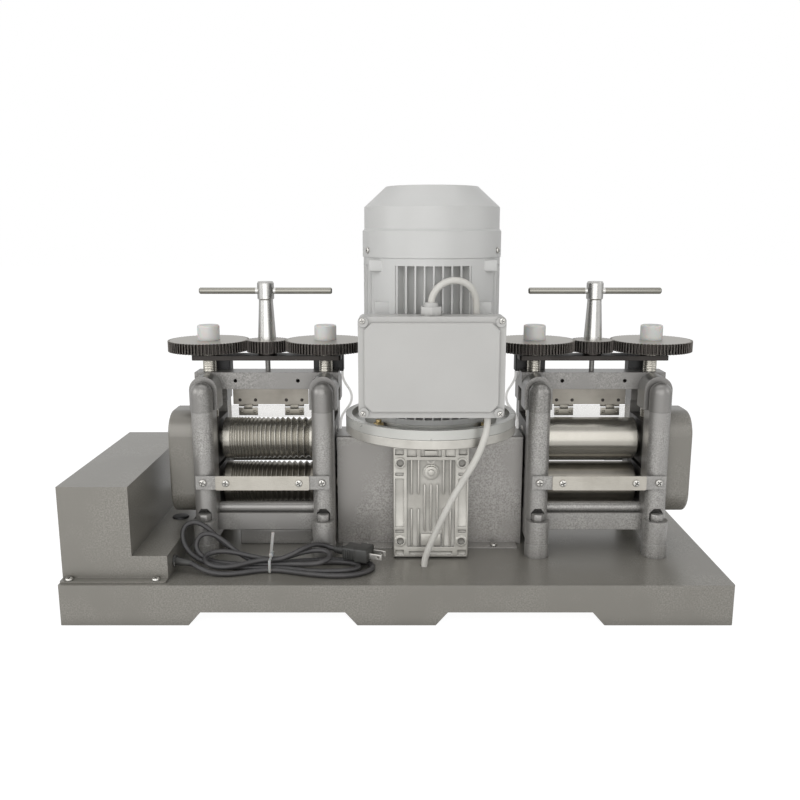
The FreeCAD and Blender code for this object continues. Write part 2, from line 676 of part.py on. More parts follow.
def side_frames():
    """Two castings: front and rear columns on bolted feet, joined by a cheek under the chocks."""
    frames = []
    for side in (-1, 1):
        x = side * COLUMN_X
        pieces = []
        for front in (-1, 1):
            y = front * COLUMN_Y
            foot_y = front * FOOT_Y
            pieces.append(rod(COLUMN_RADIUS, (x, y, BASE_TOP), (x, y, FRAME_SPLIT)))
            pieces.append(rod(13.4, (x, foot_y, BASE_TOP), (x, foot_y, FOOT_TOP)))
            pieces.append(rod(14.2, (x, foot_y, BASE_TOP), (x, foot_y, 62)))
            rail = (front * WINDOW_HALF_WIDTH, front * (COLUMN_Y - 3))
            pieces.append(box((side * FRAME_INNER, side * FRAME_OUTER), rail, (BASE_TOP + 16, FRAME_SPLIT)))
        pieces.append(box((side * FRAME_INNER, side * FRAME_OUTER),
                          (-WINDOW_HALF_WIDTH - 2, WINDOW_HALF_WIDTH + 2), (62, 91.5)))
        casting = join(pieces)
        notches = []
        for front in (-1, 1):
            y = front * FOOT_BOLT_Y
            notches.append(rod(8.0, (x, y, FOOT_TOP), (x, y, FOOT_TOP + 8)))
            notches.append(taper(8.0, 3.5, (x, y, FOOT_TOP + 8), (x, y, FOOT_TOP + 14)))
            notches.append(rod(FOOT_BOLT_SHANK + 0.2, (x, y, BASE_TOP - 1), (x, y, FOOT_TOP + 1)))
        notches.append(box((x - 20, x + 20), (-70, STRAP_SEAT), (126, 144)))
        frames.append(casting.cut(notches + screw_holes(STRAP_SCREWS)))
    return frames


def foot_bolts():
    """Hexagon bolts that hold the feet down through the base."""
    return [hexagon_bolt((sx * COLUMN_X, sy * FOOT_BOLT_Y, FOOT_TOP), 10.0, 6.0, 50.0, FOOT_BOLT_SHANK)
            for sx in (-1, 1) for sy in (-1, 1)]


def foot_bolt_places():
    """The centres of all eight foot bolts on the base."""
    return [(MOTOR_X + head * HEAD_OFFSET + sx * COLUMN_X, sy * FOOT_BOLT_Y)
            for head in (-1, 1) for sx in (-1, 1) for sy in (-1, 1)]


def crown():
    """Top casting: a cross beam and four arched shoulders that cap the columns."""
    pieces = [box((-BEAM_HALF_LENGTH, BEAM_HALF_LENGTH), (-BEAM_HALF_DEPTH, BEAM_HALF_DEPTH),
                  (BEAM_BOTTOM, BEAM_TOP))]
    for side in (-1, 1):
        for front in (-1, 1):
            x, y = side * COLUMN_X, front * COLUMN_Y
            pieces.append(column_cap(x, y))
            pieces.append(shoulder_arch(x, front))
    casting = join(pieces)
    cuts = [rod(SCREW_RADIUS + RUNNING_GAP, (side * SCREW_X, 0, BEAM_BOTTOM - 1),
                (side * SCREW_X, 0, BEAM_TOP + 1)) for side in (-1, 1)]
    cuts += [rod(2.2, (x, -BEAM_HALF_DEPTH - 1, 245), (x, BEAM_HALF_DEPTH + 1, 245)) for x in (-37, 37)]
    cuts.append(rod(3.0, (0, 0, 241), (0, 0, BEAM_TOP + 1)))
    cuts += [box(span, (BEAM_HALF_DEPTH, 34), (SWITCH_SEAT, BEAM_TOP + 5))
             for span in ((-77, -47), (52, 90))]
    return casting.cut(cuts)


def column_cap(x, y):
    """The rounded top of one column."""
    dome = Part.makeSphere(COLUMN_RADIUS, Vector(x, y, CAP_SPRING))
    return rod(COLUMN_RADIUS, (x, y, FRAME_SPLIT), (x, y, CAP_SPRING)).fuse(dome)


def shoulder_arch(x, front):
    """The arched web between the beam and a column cap, round-topped across X."""
    near, far = front * BEAM_HALF_DEPTH, front * 43
    half = ARCH_HALF_WIDTH
    block = box((x - half, x + half), (near, far), (FRAME_SPLIT, ARCH_SPRING))
    top = rod(half, (x, near, ARCH_SPRING), (x, far, ARCH_SPRING))
    return block.fuse(top)


def guide_stud():
    """The stud the gear bar slides on."""
    return rod(3.0, (0, 0, 241), (0, 0, 286))


def chocks(axis_z, low, high):
    """Two bronze-bushed bearing blocks, bored for the roll journals."""
    blocks = []
    for side in (-1, 1):
        block = box((side * FRAME_INNER, side * FRAME_OUTER), (-CHOCK_HALF_WIDTH, CHOCK_HALF_WIDTH),
                    (low, high))
        bore = rod(JOURNAL_RADIUS + RUNNING_GAP, (side * 50, 0, axis_z), (side * 90, 0, axis_z))
        blocks.append(block.cut(bore))
    return blocks


def groove_profile():
    """The radius along a grooved roll: V-grooves that widen towards the motor."""
    room = 2 * ROLL_HALF_LENGTH - 12.0
    grow = (GROOVE_LAST - GROOVE_FIRST) / (GROOVE_COUNT - 1)
    widths = [GROOVE_FIRST + grow * k for k in range(GROOVE_COUNT)]
    scale = (room - GROOVE_LAND * GROOVE_COUNT) / sum(widths)
    points = []
    at = -ROLL_HALF_LENGTH + 9.0
    for width in widths:
        wide = width * scale
        points.append((ROLL_RADIUS, at))
        points.append((ROLL_RADIUS - 0.47 * wide, at + wide / 2))
        points.append((ROLL_RADIUS, at + wide))
        at += wide + GROOVE_LAND
    return points


def roll(axis_z, grooved, stub_end):
    """A steel roll with its journals; the lower roll has a stub for the coupling at +X."""
    edge = 1.0
    middle = groove_profile() if grooved else []
    profile = [(0, -109), (12, -109), (12, -82), (JOURNAL_RADIUS, -82), (JOURNAL_RADIUS, -ROLL_HALF_LENGTH),
               (ROLL_RADIUS - edge, -ROLL_HALF_LENGTH), (ROLL_RADIUS, -ROLL_HALF_LENGTH + edge)]
    profile += middle
    profile += [(ROLL_RADIUS, ROLL_HALF_LENGTH - edge), (ROLL_RADIUS - edge, ROLL_HALF_LENGTH),
                (JOURNAL_RADIUS, ROLL_HALF_LENGTH), (JOURNAL_RADIUS, FRAME_OUTER)]
    if stub_end > FRAME_OUTER:
        profile += [(12, FRAME_OUTER), (12, stub_end)]
    profile.append((0, profile[-1][1]))
    return turned(profile, Vector(0, 0, axis_z), X)


def roll_gear(axis_z, first_angle):
    """A long-toothed gear on a roll's outer end; it stays in mesh at every roll gap."""
    face = toothed_face(ROLL_GEAR_TEETH, ROLL_GEAR_ROOT, ROLL_GEAR_TIP, 0.58, 0.22, first_angle)
    gear = face.extrude(Vector(0, 0, 16))
    gear.rotate(Vector(0, 0, 0), Vector(1, 1, 1), 120)
    gear.translate(Vector(-107, 0, axis_z))
    return gear.cut(rod(12, (-120, 0, axis_z), (-80, 0, axis_z)))


def gear_cover():
    """Outer shell over the roll gears, with rounded corners and a domed edge."""
    outer = rounded(box((-114, -FRAME_OUTER), (-38, 38), (85.5, 209.5)), 27.0, X)
    face_edges = [e for e in outer.Edges if all(abs(v.X + 114) < 0.01 for v in e.Vertexes)]
    outer = outer.makeFillet(3.0, face_edges)
    inner = rounded(box((-112, -80), (-36, 36), (87.5, 207.5)), 25.0, X)
    return outer.cut(inner)


def screw_and_gear(x, first_angle):
    """A pressure screw and the big spur gear fixed on it."""
    screw = rod(SCREW_RADIUS, (x, 0, SCREW_FOOT), (x, 0, 303))
    hub = rod(13, (x, 0, BAR_TOP + 0.1), (x, 0, GEAR_BOTTOM))
    gear = screw_gear_face(SCREW_TEETH, first_angle).extrude(Vector(0, 0, GEAR_TOP - GEAR_BOTTOM))
    gear.translate(Vector(x, 0, GEAR_BOTTOM))
    gear = gear.fuse(hub).cut(rod(SCREW_RADIUS, (x, 0, 270), (x, 0, 300)))
    return [screw, gear]


def screw_cap(x):
    """White plastic cap over a screw's upper end."""
    profile = [(SCREW_RADIUS, GEAR_TOP), (13, GEAR_TOP), (13, CAP_TOP - 1.6), (12.4, CAP_TOP - 0.5),
               (11.2, CAP_TOP), (0, CAP_TOP), (0, 303), (SCREW_RADIUS, 303)]
    return turned(profile, Vector(x, 0, 0), Z)


def pinion():
    """Central pinion with the collar that rests on the gear bar."""
    wheel = screw_gear_face(PINION_TEETH, 0.0).extrude(Vector(0, 0, GEAR_TOP - GEAR_BOTTOM + 1.5))
    wheel.translate(Vector(0, 0, GEAR_BOTTOM - 1.5))
    collar = rod(11, (0, 0, BAR_TOP + 0.1), (0, 0, GEAR_BOTTOM - 1.5))
    return wheel.fuse(collar).cut(rod(3.0 + 2 * RUNNING_GAP, (0, 0, 270), (0, 0, 296)))


def handle():
    """Turned stem with a collar, and the cross bar through it."""
    profile = [(0, GEAR_TOP), (10.5, GEAR_TOP), (10.5, GEAR_TOP + 4), (8.2, 338), (8.2, 339.5),
               (9.75, 341), (9.75, 359), (8.6, 361), (0, 361)]
    stem = turned(profile, Vector(0, 0, 0), Z)
    end = HANDLE_HALF_LENGTH
    bar = turned([(0, -end), (2.6, -end), (3.75, 1.2 - end), (3.75, end - 1.2), (2.6, end), (0, end)],
                 Vector(0, 0, HANDLE_Z), X)
    return [stem.cut(rod(3.75, (-20, 0, HANDLE_Z), (20, 0, HANDLE_Z))), bar]


def gear_bar():
    """Flat bar that holds the pinion and both screws at their centres and slides on the stud."""
    bar = box((-88, 88), (-13.5, 13.5), (BAR_BOTTOM, BAR_TOP))
    bar = rounded(bar, 3.0, Z)
    bores = [rod(SCREW_RADIUS + RUNNING_GAP, (side * SCREW_X, 0, 260), (side * SCREW_X, 0, 280))
             for side in (-1, 1)]
    return bar.cut(bores + [rod(3.0 + RUNNING_GAP, (0, 0, 260), (0, 0, 280))])


HINGE_Y = 18.0
HINGE_Z = 209.5
HINGE_RADIUS = 2.2
HINGE_CENTRES = (-28.3, 28.3)
HINGE_HALF = 11.5


def guard_plate():
    """Steel plate hung behind the crown, with the fixed hinge leaves, knuckles and pins."""
    plate = box((-46, 46), (BEAM_HALF_DEPTH, BEAM_HALF_DEPTH + 1.5), (211, 253))
    pieces = [plate]
    for x in HINGE_CENTRES:
        leaf = box((x - HINGE_HALF, x + HINGE_HALF), (15.5, 16.7), (213, 229))
        ears = [box((x + s * 5.5, x + s * HINGE_HALF), (15.8, 17.0), (HINGE_Z, 214)) for s in (-1, 1)]
        knuckles = [rod(HINGE_RADIUS, (x + s * 5.5, HINGE_Y, HINGE_Z),
                        (x + s * HINGE_HALF, HINGE_Y, HINGE_Z)) for s in (-1, 1)]
        pin = rod(1.1, (x - HINGE_HALF, HINGE_Y, HINGE_Z), (x + HINGE_HALF, HINGE_Y, HINGE_Z))
        pieces += [leaf, pin] + ears + knuckles
    return join(pieces)


def guard_flap():
    """Clear flap that hangs behind the upper roll, with its moving hinge leaves and knuckles."""
    sheet = box((-53, 49.5), (HINGE_Y - 1.2, HINGE_Y + 1.8), (194.5, 209))
    cutouts = [box((x - HINGE_HALF - 0.5, x + HINGE_HALF + 0.5), (10, 30), (206.3, 210))
               for x in HINGE_CENTRES]
    pieces = [sheet.cut(cutouts)]
    for x in HINGE_CENTRES:
        knuckle = rod(HINGE_RADIUS, (x - 5.2, HINGE_Y, HINGE_Z), (x + 5.2, HINGE_Y, HINGE_Z))
        web = box((x - 5.2, x + 5.2), (HINGE_Y - 2.2, HINGE_Y - 1.2), (197.5, HINGE_Z))
        leaf = box((x - HINGE_HALF, x + HINGE_HALF), (HINGE_Y - 2.2, HINGE_Y - 1.2), (197.5, 206.3))
        bore = rod(1.1 + RUNNING_GAP, (x - 6, HINGE_Y, HINGE_Z), (x + 6, HINGE_Y, HINGE_Z))
        pieces.append(join([knuckle, web, leaf]).cut(bore))
    return pieces


def front_strap():
    """Bright steel strap across the front of the rolls."""
    strap = rounded(box((-54, 54), (STRAP_FRONT, STRAP_BACK), STRAP_Z), 2.0, Y)
    return strap.cut(screw_holes(STRAP_SCREWS))


def strap_brackets():
    """Painted end brackets that carry the strap on the front columns."""
    brackets = [box((side * 36, side * 77), (STRAP_BACK, STRAP_SEAT), (STRAP_Z[0] + 0.4, STRAP_Z[1] - 0.4))
                for side in (-1, 1)]
    return [bracket.cut(screw_holes(STRAP_SCREWS)) for bracket in brackets]


def tie_bars():
    """Round tie rod and two flat tie bars, low between the side frames."""
    round_bar = rod(6.8, (-FRAME_INNER, -33, 95.6), (FRAME_INNER, -33, 95.6))
    flat_bars = [box((-FRAME_INNER, FRAME_INNER), span, (71.5, 91.5)) for span in ((-46, -40), (40, 46))]
    return [round_bar] + flat_bars


def switch_blocks():
    """Black limit-switch blocks behind the beam, each seated on an arch; the inner one carries the lead."""
    outer = rounded(box((-76, -48), (BEAM_HALF_DEPTH, 33), (SWITCH_SEAT, 272)), 1.5, Z)
    inner = rounded(box((53, 89), (BEAM_HALF_DEPTH, 33), (SWITCH_SEAT, 272)), 1.5, Z)
    return [outer, inner]


SWITCH_LEAD = [(87.2, 25.0, 252.0), (87.2, 25.0, 242.5), (91.0, 24.8, 234.5), (96.0, 24.3, 227.5),
               (98.8, 23.5, 219.5), (97.3, 22.3, 211.0), (92.3, 20.8, 204.0), (87.3, 19.0, 197.8),
               (84.6, 17.0, 189.5), (84.6, 17.0, 180.0)]


# Leads outside the housings

MOTOR_LEAD = [(36.0, -128.0, 334.5), (36.0, -128.0, 351.5), (42.5, -127.6, 362.7), (53.7, -126.3, 369.2),
              (66.7, -123.6, 369.2), (77.6, -118.8, 362.6), (83.6, -112.9, 350.0),
              (84.5, -108.6, 326.0), (84.5, -108.6, 310.0)]

SUPPLY_LEAD = [(96.0, -130.0, 226.5), (96.0, -130.0, 214.0), (92.5, -131.5, 201.0), (87.5, -130.0, 186.5),
               (80.0, -126.5, 170.0), (70.5, -121.5, 152.0), (60.5, -116.0, 132.0),
               (51.5, -110.0, 110.0), (43.0, -104.0, 88.0), (35.5, -98.5, 67.0),
               (31.5, -95.5, 53.5), (31.0, -95.0, 42.0)]

MAINS_LEAD = [(-247.0, -110.0, 58.0), (-239.0, -110.0, 58.0), (-229.0, -113.5, 56.6),
              (-217.5, -119.5, 52.8), (-205.0, -124.0, 49.6), (-194.0, -125.6, 48.9), (-184.0, -125.6, 48.9)]

PLUG_LEAD = [(-104.0, -81.2, 65.0), (-93.5, -81.2, 65.0), (-83.0, -79.6, 62.8),
             (-72.6, -79.04, 60.0), (-62.76, -82.63, 60.0)]

HANK_PLAN = [(-238, -80), (-238, -103), (-214, -113), (-184, -120), (-184, -131), (-156, -131),
             (-143, -119), (-139, -119), (-120, -131), (-70, -131), (-36, -117), (-28, -102),
             (-34, -92), (-70, -84), (-104, -78), (-118, -78), (-139, -87), (-143, -87), (-170, -79.5)]
HANK_PROFILE = [(-238, BASE_TOP), (-238, 56), (-224, 82), (-206, 86), (-180, 74), (-150, 64), (-132, 64),
                (-120, 71), (-104, 71), (-104, 52), (-28, 52), (-28, BASE_TOP)]
TIE_X = -141.0


def mains_hank():
    """The outer shape of the folded hank of mains lead."""
    plan = prism([(x, y, BASE_TOP) for x, y in HANK_PLAN], (0, 0, 50))
    side = prism([(x, -140, z) for x, z in HANK_PROFILE], (0, 70, 0))
    hank = plan.common(side)
    groove = box((TIE_X - 1.6, TIE_X + 1.6), (-140, -70), (40, 80))
    neck = box((TIE_X - 1.6, TIE_X + 1.6), (-117, -89), (BASE_TOP + 1.2, 63))
    return join([hank.cut(groove), neck])


def cord_tie():
    """Plastic tie round the hank's waist, with its tail standing up."""
    ring = box((TIE_X - 1.4, TIE_X + 1.4), (-118.2, -87.8), (BASE_TOP, 64.2))
    ring = ring.cut(box((TIE_X - 2, TIE_X + 2), (-117, -89), (BASE_TOP + 1.2, 63)))
    lock = box((TIE_X - 2.2, TIE_X + 2.2), (-106, -101), (64.2, 68))
    tail = prism([(TIE_X - 1.2, -104.2, 67), (TIE_X + 1.2, -104.2, 67), (TIE_X + 3.6, -103.2, 86),
                  (TIE_X + 1.2, -103.2, 86)], (0, 1.2, 0))
    return join([ring, lock, tail])


PLUG_TAIL = Vector(-59.0, -84.0, 60.0)
PLUG_YAW = -20.0


def mains_plug():
    """Two-blade plug with a stepped body and a tapered strain relief, lying on the hank."""
    body = rounded(box((0, 31), (-12, 12), (-8, 8)), 3.0, X)
    waist = taper(5.5, 8.0, (-1.0, 0, 0), (2, 0, 0))
    relief = taper(3.8, 5.2, (-4.0, 0, 0), (0.5, 0, 0))
    blades = [box((31, 47), (side * 6.35 - 0.75, side * 6.35 + 0.75), (-3.2, 3.2)) for side in (-1, 1)]
    blades = [b.cut(rod(1.6, (43, -20, 0), (43, 20, 0))) for b in blades]
    shapes = [join([body, waist, relief])] + blades
    for shape in shapes:
        shape.rotate(Vector(0, 0, 0), Z, PLUG_YAW)
        shape.translate(PLUG_TAIL)
    return shapes


def panel_screws():
    """The pan-head screws of the covers, the lid, the cowl and the straps."""
    heads = screws(COVER_SCREWS) + screws(lid_screw_places(), 3.5, 1.7) + screws(cowl_screw_places())
    straps = screws(STRAP_SCREWS, 3.7)
    left = moved(straps, MOTOR_X - HEAD_OFFSET)
    return heads + left + moved(straps, MOTOR_X + HEAD_OFFSET, mirror=True)


def hexagon_bolts():
    """The flange bolts and the foot bolts."""
    feet = foot_bolts()
    left = moved(feet, MOTOR_X - HEAD_OFFSET)
    return flange_bolts() + left + moved(feet, MOTOR_X + HEAD_OFFSET, mirror=True)


def save_pair(name, shapes):
    """Write the pieces of both heads that belong to the machine's frame as one node."""
    left = moved(shapes, MOTOR_X - HEAD_OFFSET)
    right = moved(shapes, MOTOR_X + HEAD_OFFSET, mirror=True)
    save(name, left + right)


def build_head(prefix, centre, mirror, grooved):
    """The nodes that one head has to itself."""
    kind = "grooved" if grooved else "smooth"
    quarter = math.pi / 2
    half_tooth = math.pi / ROLL_GEAR_TEETH
    half_screw_tooth = math.pi / SCREW_TEETH
    nodes = {
        prefix + "_side_frames": side_frames(),
        prefix + "_crown": [crown(), guide_stud()],
        kind + "_lower_roll": [roll(SHAFT_Z, grooved, 105.0), roll_gear(SHAFT_Z, quarter)],
        kind + "_upper_roll": [roll(UPPER_Z, grooved, 0.0), roll_gear(UPPER_Z, -quarter + half_tooth)],
        prefix + "_upper_chocks": chocks(UPPER_Z, 147.3, 198.4),
        prefix + "_outer_screw": screw_and_gear(-SCREW_X, 0.0),
        prefix + "_inner_screw": screw_and_gear(SCREW_X, half_screw_tooth),
        prefix + "_outer_cap": [screw_cap(-SCREW_X)],
        prefix + "_inner_cap": [screw_cap(SCREW_X)],
        prefix + "_pinion": [pinion()],
        prefix + "_handle": handle(),
        prefix + "_gear_bar": [gear_bar()],
        prefix + "_guard_flap": guard_flap(),
    }
    for name, shapes in nodes.items():
        save(name, moved(shapes, centre, mirror))


def main():
    os.makedirs("parts", exist_ok=True)
    save("base_pan", [base_pan()])
    save("step_cover", [step_cover()])
    save("coupling_covers", coupling_covers())
    save("gearbox_housing", [gearbox_housing(), oil_plug()])
    save("input_flange", [input_flange()])
    save("motor_flange", [motor_flange()])
    save("motor_housing", [motor_housing()])
    save("stator", [stator()])
    save("fan_cowl", [fan_cowl()])
    save("rotor_shaft", [rotor_shaft()])
    save("cooling_fan", [cooling_fan()])
    save("cross_shaft", [cross_shaft()])
    save("worm_wheel", [worm_wheel()])
    save("shaft_couplings", shaft_couplings())
    save("control_box", [control_box()])
    save("control_box_lid", [control_box_lid()])
    save("cable_glands", cable_glands() + [mains_grommet()])
    save("panel_screws", panel_screws())
    save_pair("front_straps", [front_strap()])
    save_pair("strap_brackets", strap_brackets())
    save_pair("tie_bars", tie_bars())
    save_pair("gear_covers", [gear_cover()])
    save_pair("lower_chocks", chocks(SHAFT_Z, 91.5, 142.2))
    save_pair("guard_plates", [guard_plate()])
    save_pair("switch_blocks", switch_blocks())
    save("hexagon_bolts", hexagon_bolts())
    build_head("left", MOTOR_X - HEAD_OFFSET, False, True)
    build_head("right", MOTOR_X + HEAD_OFFSET, True, False)
    save_pair("switch_leads", [tube(SWITCH_LEAD, SWITCH_LEAD_DIAMETER, "switch lead")])
    save("motor_lead", [tube(MOTOR_LEAD, MOTOR_LEAD_DIAMETER, "motor lead")])
    save("supply_lead", [tube(SUPPLY_LEAD, SUPPLY_LEAD_DIAMETER, "supply lead")])
    save("mains_lead", [tube(MAINS_LEAD, MAINS_DIAMETER, "mains lead"),
                        tube(PLUG_LEAD, MAINS_DIAMETER, "plug lead")])
    save("mains_hank", [mains_hank()])
    save("cord_tie", [cord_tie()])
    save("mains_plug", mains_plug())


main()
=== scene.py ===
"""Jewellers rolling mill: two roll heads on a sheet-metal base and a vertical geared motor between them.

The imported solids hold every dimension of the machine. This script gives each of them its finish, lays the
mains lead in its folded hank, and adds the fine pieces that the solids only stand for.
"""

import logging
import math
from dataclasses import dataclass
from enum import Enum

import bpy
from mathutils import Matrix, Vector


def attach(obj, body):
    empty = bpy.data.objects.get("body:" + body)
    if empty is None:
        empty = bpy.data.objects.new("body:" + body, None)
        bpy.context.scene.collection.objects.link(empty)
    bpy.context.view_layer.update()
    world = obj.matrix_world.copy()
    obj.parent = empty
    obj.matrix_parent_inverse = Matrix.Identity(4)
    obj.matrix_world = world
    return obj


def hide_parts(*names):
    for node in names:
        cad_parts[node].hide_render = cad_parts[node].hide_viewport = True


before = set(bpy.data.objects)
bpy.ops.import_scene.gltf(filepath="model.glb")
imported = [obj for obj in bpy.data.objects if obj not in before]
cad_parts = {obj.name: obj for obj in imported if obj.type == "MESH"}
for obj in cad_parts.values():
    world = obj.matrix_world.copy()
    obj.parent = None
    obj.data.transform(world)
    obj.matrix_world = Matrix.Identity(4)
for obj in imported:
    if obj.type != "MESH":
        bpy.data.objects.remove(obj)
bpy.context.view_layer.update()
MM = 0.001
MACHINE = "machine"
MOTOR_X = 39.0
MOTOR_Y = -40.0
HEAD_CENTRES = {"left": MOTOR_X - 193.5, "right": MOTOR_X + 193.5}
LOG = logging.getLogger("rolling_mill")

Colour = tuple[float, float, float, float]
Point = tuple[float, float, float]
Span = tuple[float, float]
Socket = bpy.types.NodeSocket
Finish = bpy.types.Material
Piece = bpy.types.Object

WHITE: Colour = (1.0, 1.0, 1.0, 1.0)


def tone(red: float, green: float, blue: float) -> Colour:
    """Turn a colour written from 0 to 255 into linear light.

    Args:
        red: The red part.
        green: The green part.
        blue: The blue part.

    Returns:
        The colour for a shader socket, fully opaque.
    """
    parts = [value / 255 for value in (red, green, blue)]
    linear = [p / 12.92 if p <= 0.04045 else ((p + 0.055) / 1.055) ** 2.4 for p in parts]
    return (*linear, 1.0)


def shaded(colour: Colour, share: float) -> Colour:
    """Bring a colour down to a share of its light."""
    return (*(part * share for part in colour[:3]), 1.0)


def metres(*point: float) -> Vector:
    """Turn a point in millimetres into metres."""
    return Vector(point) * MM


class Wiring:
    """A node tree, wired by short calls."""

    def __init__(self, tree: bpy.types.NodeTree) -> None:
        """Take a tree to work on."""
        self.tree = tree

    def add(self, kind: str, sockets: dict | None = None, **settings: object) -> bpy.types.Node:
        """Add a node.

        Args:
            kind: Blender's name for the node.
            sockets: Values or sockets for its inputs, by name or index.
            **settings: The node's own settings.

        Returns:
            The node.
        """
        node = self.tree.nodes.new(kind)
        for name, value in settings.items():
            setattr(node, name, value)
        for name, value in (sockets or {}).items():
            self.put(node.inputs[name], value)
        return node

    def put(self, target: Socket, value: object) -> None:
        """Fill an input.

        Args:
            target: The input.
            value: A fixed value, or another node's output, which is linked to it.
        """
        if isinstance(value, Socket):
            self.tree.links.new(value, target)
        else:
            target.default_value = value

    def maths(self, operation: str, *values: Socket | float) -> Socket:
        """Combine values by one of the Math node's operations."""
        return self.add("ShaderNodeMath", dict(enumerate(values)), operation=operation).outputs[0]


class Graph(Wiring):
    """The node tree of one material."""

    def __init__(self, name: str) -> None:
        """Start a material with its shader and the object's own coordinates.

        Args:
            name: The material's name.
        """
        self.material = bpy.data.materials.new(name)
        self.material.use_nodes = True
        super().__init__(self.material.node_tree)
        self.shader = self.tree.nodes["Principled BSDF"]
        self.place = self.add("ShaderNodeTexCoord").outputs["Object"]

    def surface(self, **values: object) -> None:
        """Set the shader's inputs; an underscore in a name stands for a space."""
        for name, value in values.items():
            self.put(self.shader.inputs[name.replace("_", " ")], value)

    def axis(self, name: str) -> Socket:
        """Return one of the object's three coordinates, in metres."""
        return self.add("ShaderNodeSeparateXYZ", {0: self.place}).outputs[name]

    def noise(self, scale: float, detail: float = 3.0, roughness: float = 0.55,
              where: Socket | None = None) -> Socket:
        """Return a cloud pattern from 0 to 1."""
        sockets = {"Vector": where or self.place, "Scale": scale, "Detail": detail, "Roughness": roughness}
        return self.add("ShaderNodeTexNoise", sockets).outputs[0]

    def level(self, value: Socket, low: float, high: float,
              start: float = 0.3, stop: float = 0.7) -> Socket:
        """Bring a value that runs from start to stop to the span from low to high."""
        sockets = {0: value, 1: start, 2: stop, 3: low, 4: high}
        return self.add("ShaderNodeMapRange", sockets).outputs[0]

    def mix(self, factor: Socket | float, first: object, second: object) -> Socket:
        """Mix two colours.

        Args:
            factor: The second colour's share.
            first: The colour at factor 0.
            second: The colour at factor 1.

        Returns:
            The mixed colour.
        """
        node = self.add("ShaderNodeMix", {"Factor": factor}, data_type="RGBA")
        self.put(node.inputs[6], first)
        self.put(node.inputs[7], second)
        return node.outputs[2]

    def rounded(self, radius: float) -> Socket:
        """Return a normal that rounds the shading over sharp edges, within a radius in metres."""
        return self.add("ShaderNodeBevel", {"Radius": radius}, samples=4).outputs[0]

    def lit_and_worn_edges(self, colour: object, rounded: Socket, share: float, bright: Colour) -> Socket:
        """Brighten a colour along the edges, which are where a rounded normal leaves the true one: partly
        rubbed wear, partly painted highlight where the edges catch the light.

        Args:
            colour: The colour of the faces.
            rounded: The rounded normal.
            share: How much of the bright colour the sharpest edges show.
            bright: The bright colour.

        Returns:
            The mixed colour.
        """
        flat = self.add("ShaderNodeNewGeometry").outputs["Normal"]
        facing = self.add("ShaderNodeVectorMath", {0: rounded, 1: flat}, operation="DOT_PRODUCT")
        edge = self.level(facing.outputs["Value"], 1.0, 0.0, 0.86, 0.995)
        return self.mix(self.level(edge, 0.0, share, 0.0, 1.0), colour, bright)

    def facing_up(self) -> Socket:
        """Pick out the level faces.

        Returns:
            1 on faces that look straight up and 0 elsewhere.
        """
        normal = self.add("ShaderNodeNewGeometry").outputs["True Normal"]
        rise = self.add("ShaderNodeSeparateXYZ", {0: normal}).outputs["Z"]
        return self.level(rise, 0.0, 1.0, 0.96, 0.99)

    def painted_recess_shade(self, colour: object, shadow_colour: Colour, amount: float, reach: float) -> Socket:
        """Darken a colour in the corners and recesses: painted shade, strongest where an occlusion test
        finds surfaces close by.

        Args:
            colour: The clean colour.
            shadow_colour: The colour of the painted shade.
            amount: How much of the painted shade shows in the deepest corner, from 0 to 1.
            reach: How far a neighbouring surface still counts as a corner, in metres.

        Returns:
            The mixed colour.
        """
        open_share = self.add("ShaderNodeAmbientOcclusion", {"Distance": reach}, samples=6).outputs["AO"]
        return self.mix(self.level(open_share, amount, 0.0, 0.25, 0.9), colour, shadow_colour)

    def relief(self, height: Socket, depth: float, strength: Socket | float,
               over: Socket | None = None) -> Socket:
        """Turn a height pattern into a normal.

        Args:
            height: The pattern.
            depth: How deep it is, in metres.
            strength: How much of it shows, from 0 to 1.
            over: Another normal that it lies on.

        Returns:
            The normal.
        """
        sockets = {"Height": height, "Distance": depth, "Strength": strength}
        if over is not None:
            sockets["Normal"] = over
        return self.add("ShaderNodeBump", sockets).outputs[0]


@dataclass(frozen=True)
class Coat:
    """The base of every finish, which becomes a material under its own name."""

    name: str

    def paint(self, graph: Graph) -> None:
        """Wire the shader; each finish does this in its own way."""
        raise NotImplementedError

    def material(self) -> Finish:
        """Build the material.

        Returns:
            The material.
        """
        graph = Graph(self.name)
        self.paint(graph)
        return graph.material


@dataclass(frozen=True)
class Hammertone(Coat):
    """Silver-grey hammer-finish paint over castings and sheet: a dimpled skin with metal flake in it."""

    base: Colour
    flake: Colour
    shade: Colour
    dimple: float = 600.0
    depth: float = 0.00003
    metal: float = 0.4
    gloss: float = 0.32

    def paint(self, graph: Graph) -> None:
        """Wire the shader.

        Args:
            graph: The material's nodes.
        """
        rounded = graph.rounded(0.0008)
        dimples = graph.noise(self.dimple, 2.5, 0.6)
        patches = graph.noise(13.0, 3.0)
        mottled = graph.mix(graph.level(dimples, 0.0, 1.0, 0.36, 0.66), self.shade, self.flake)
        calm = graph.level(patches, 0.0, 1.0, 0.42, 0.58)
        # Painted shade in the corners and recesses, in a dark copy of the shade colour.
        body = graph.painted_recess_shade(graph.mix(calm, mottled, self.base), shaded(self.shade, 0.28), 0.5, 0.014)
        # Edges brightened toward the flake colour: partly worn paint, partly painted highlight.
        graph.surface(Base_Color=graph.lit_and_worn_edges(body, rounded, 0.35, self.flake),
                      Metallic=self.metal,
                      Roughness=graph.level(dimples, self.gloss, self.gloss + 0.04),
                      Coat_Weight=0.4, Coat_Roughness=0.25,
                      Normal=graph.relief(dimples, self.depth, graph.level(calm, 1.0, 0.1, 0.0, 1.0),
                                          rounded))


